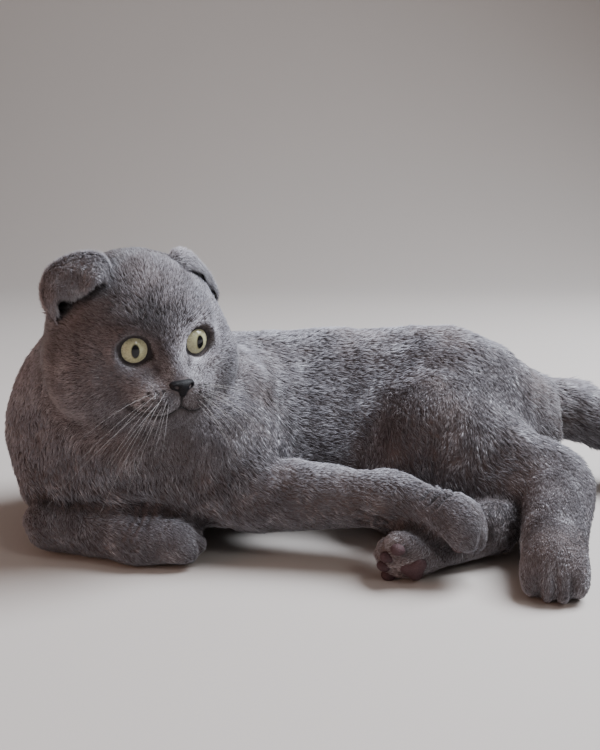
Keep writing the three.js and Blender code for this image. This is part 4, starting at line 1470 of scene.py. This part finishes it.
def factor_property(name, description, default):
    return bpy.props.FloatProperty(
        name=name, description=description, default=default, min=0, max=1, subtype="FACTOR"
    )


class CatColours(bpy.types.PropertyGroup):
    """Colours of the coat and the bare skin"""

    root: colour_property("Root", "Fur at its root", (0.06, 0.048, 0.05))
    middle: colour_property("Middle", "Fur half way along", (0.15, 0.136, 0.147))
    # The pale bluish tip is partly painted sheen
    tip: colour_property("Tip", "Fur at its tip", (0.36, 0.352, 0.395))
    # Dark and silver are the ends to which each tuft's shade draws it: besides random tone and real dark
    # marks they carry painted highlight and painted shade on the head, in the creases and in the wrist
    # wrinkles
    dark: colour_property("Dark", "The darkest tufts", (0.03, 0.025, 0.027))
    silver: colour_property("Silver", "The palest tufts", (0.6, 0.6, 0.64))
    # Painted shade: the warm brown that the fur takes in shade, laid in random patches
    cast: colour_property("Cast", "Faint brown cast", (0.21, 0.15, 0.13))
    ear_hollow: colour_property("Ear hollow", "Skin inside the ears", (0.05, 0.036, 0.036))
    nose: colour_property("Nose", "Nose leather", (0.009, 0.008, 0.011))
    pad: colour_property("Pads", "Leather of the pads", (0.09, 0.05, 0.056))


class CatCoat(bpy.types.PropertyGroup):
    """Lengths of the coat"""

    face_length: length_property("Face", "Length of the tufts on the face", 3.6 * MM)
    ear_length: length_property("Ears", "Length of the tufts on the ears", 5.2 * MM)
    head_length: length_property("Head", "Length of the tufts on the head", 5.6 * MM)
    body_length: length_property("Body", "Length of the tufts on the body", 6.6 * MM)
    leg_length: length_property("Legs", "Length of the tufts on the legs", 4.8 * MM)
    paw_length: length_property("Paws", "Length of the tufts on the paws", 3.0 * MM)
    tail_length: length_property("Tail", "Length of the tufts on the tail", 12 * MM)
    tuft_width: length_property("Width", "Width of a tuft at its root", 0.56 * MM)
    lift: factor_property("Lift", "How far tufts stand off", 0.24)


class CatEyes(bpy.types.PropertyGroup):
    """Sizes and colours of the eyes"""

    opening_width: length_property("Opening width", "Between the corners of the lids", 17.8 * MM)
    opening_height: length_property("Opening height", "Between the lids", 16.2 * MM)
    pupil_width: length_property("Pupil width", "Width of the upright pupil", 4.6 * MM)
    pupil_height: length_property("Pupil height", "Height of the upright pupil", 7.7 * MM)
    inner: colour_property("Inner iris", "Iris round the pupil", (0.46, 0.44, 0.25))
    outer: colour_property("Outer iris", "Iris towards its edge", (0.7, 0.67, 0.44))
    rim: colour_property("Iris edge", "Dark edge of the iris", (0.12, 0.09, 0.03))
    white: colour_property("White", "The ball beyond the iris", (0.25, 0.2, 0.17))
    pupil: colour_property("Pupil", "The pupil", (0.003, 0.003, 0.004))
    lid: colour_property("Lid", "Edge of the lids and lips", (0.009, 0.007, 0.008))


class CatWhiskers(bpy.types.PropertyGroup):
    """Sizes of the whiskers"""

    length: length_property("Length", "The longest whisker", 66 * MM)
    thickness: length_property("Thickness", "A whisker at its root", 0.2 * MM)


class CatStage(bpy.types.PropertyGroup):
    """Strength of the lights"""

    ambient: factor_property("Ambient", "Strength of the sky", 0.21)
    key: power_property("Key", "Power of the main light", 60)
    fill: power_property("Fill", "Power of the warm light", 7.5)
    front: power_property("Front", "Power of the front light", 5)


PIECES = (
    CAT_OT_stage,
    CAT_OT_skin,
    CAT_OT_coat,
    CAT_OT_ears,
    CAT_OT_eyes,
    CAT_OT_nose,
    CAT_OT_whiskers,
    CAT_OT_pads,
)
GROUPS = {
    "cat_colours": CatColours,
    "cat_coat": CatCoat,
    "cat_eyes": CatEyes,
    "cat_whiskers": CatWhiskers,
    "cat_stage": CatStage,
}


class CAT_PT_panel(bpy.types.Panel):
    """Lists the pieces of the cat and their settings"""

    bl_idname = "CAT_PT_panel"
    bl_label = "Scottish fold cat"
    bl_space_type = "VIEW_3D"
    bl_region_type = "UI"
    bl_category = "Cat"

    def draw(self, context):
        for piece in PIECES:
            self.layout.operator(piece.bl_idname)
        for name, group in GROUPS.items():
            settings = getattr(context.scene, name)
            for key in group.__annotations__:
                self.layout.prop(settings, key)


def register():
    for piece in (*GROUPS.values(), *PIECES, CAT_PT_panel):
        bpy.utils.register_class(piece)
    for name, group in GROUPS.items():
        setattr(bpy.types.Scene, name, bpy.props.PointerProperty(type=group))


def unregister():
    for name in GROUPS:
        delattr(bpy.types.Scene, name)
    for piece in (CAT_PT_panel, *PIECES, *GROUPS.values()):
        bpy.utils.unregister_class(piece)


def main():
    register()
    bpy.ops.cat.stage()
    bpy.ops.cat.skin()
    bpy.ops.cat.coat()
    bpy.ops.cat.ears()
    bpy.ops.cat.eyes()
    bpy.ops.cat.nose()
    bpy.ops.cat.whiskers()
    bpy.ops.cat.pads()


if __name__ == "__main__":
    main()
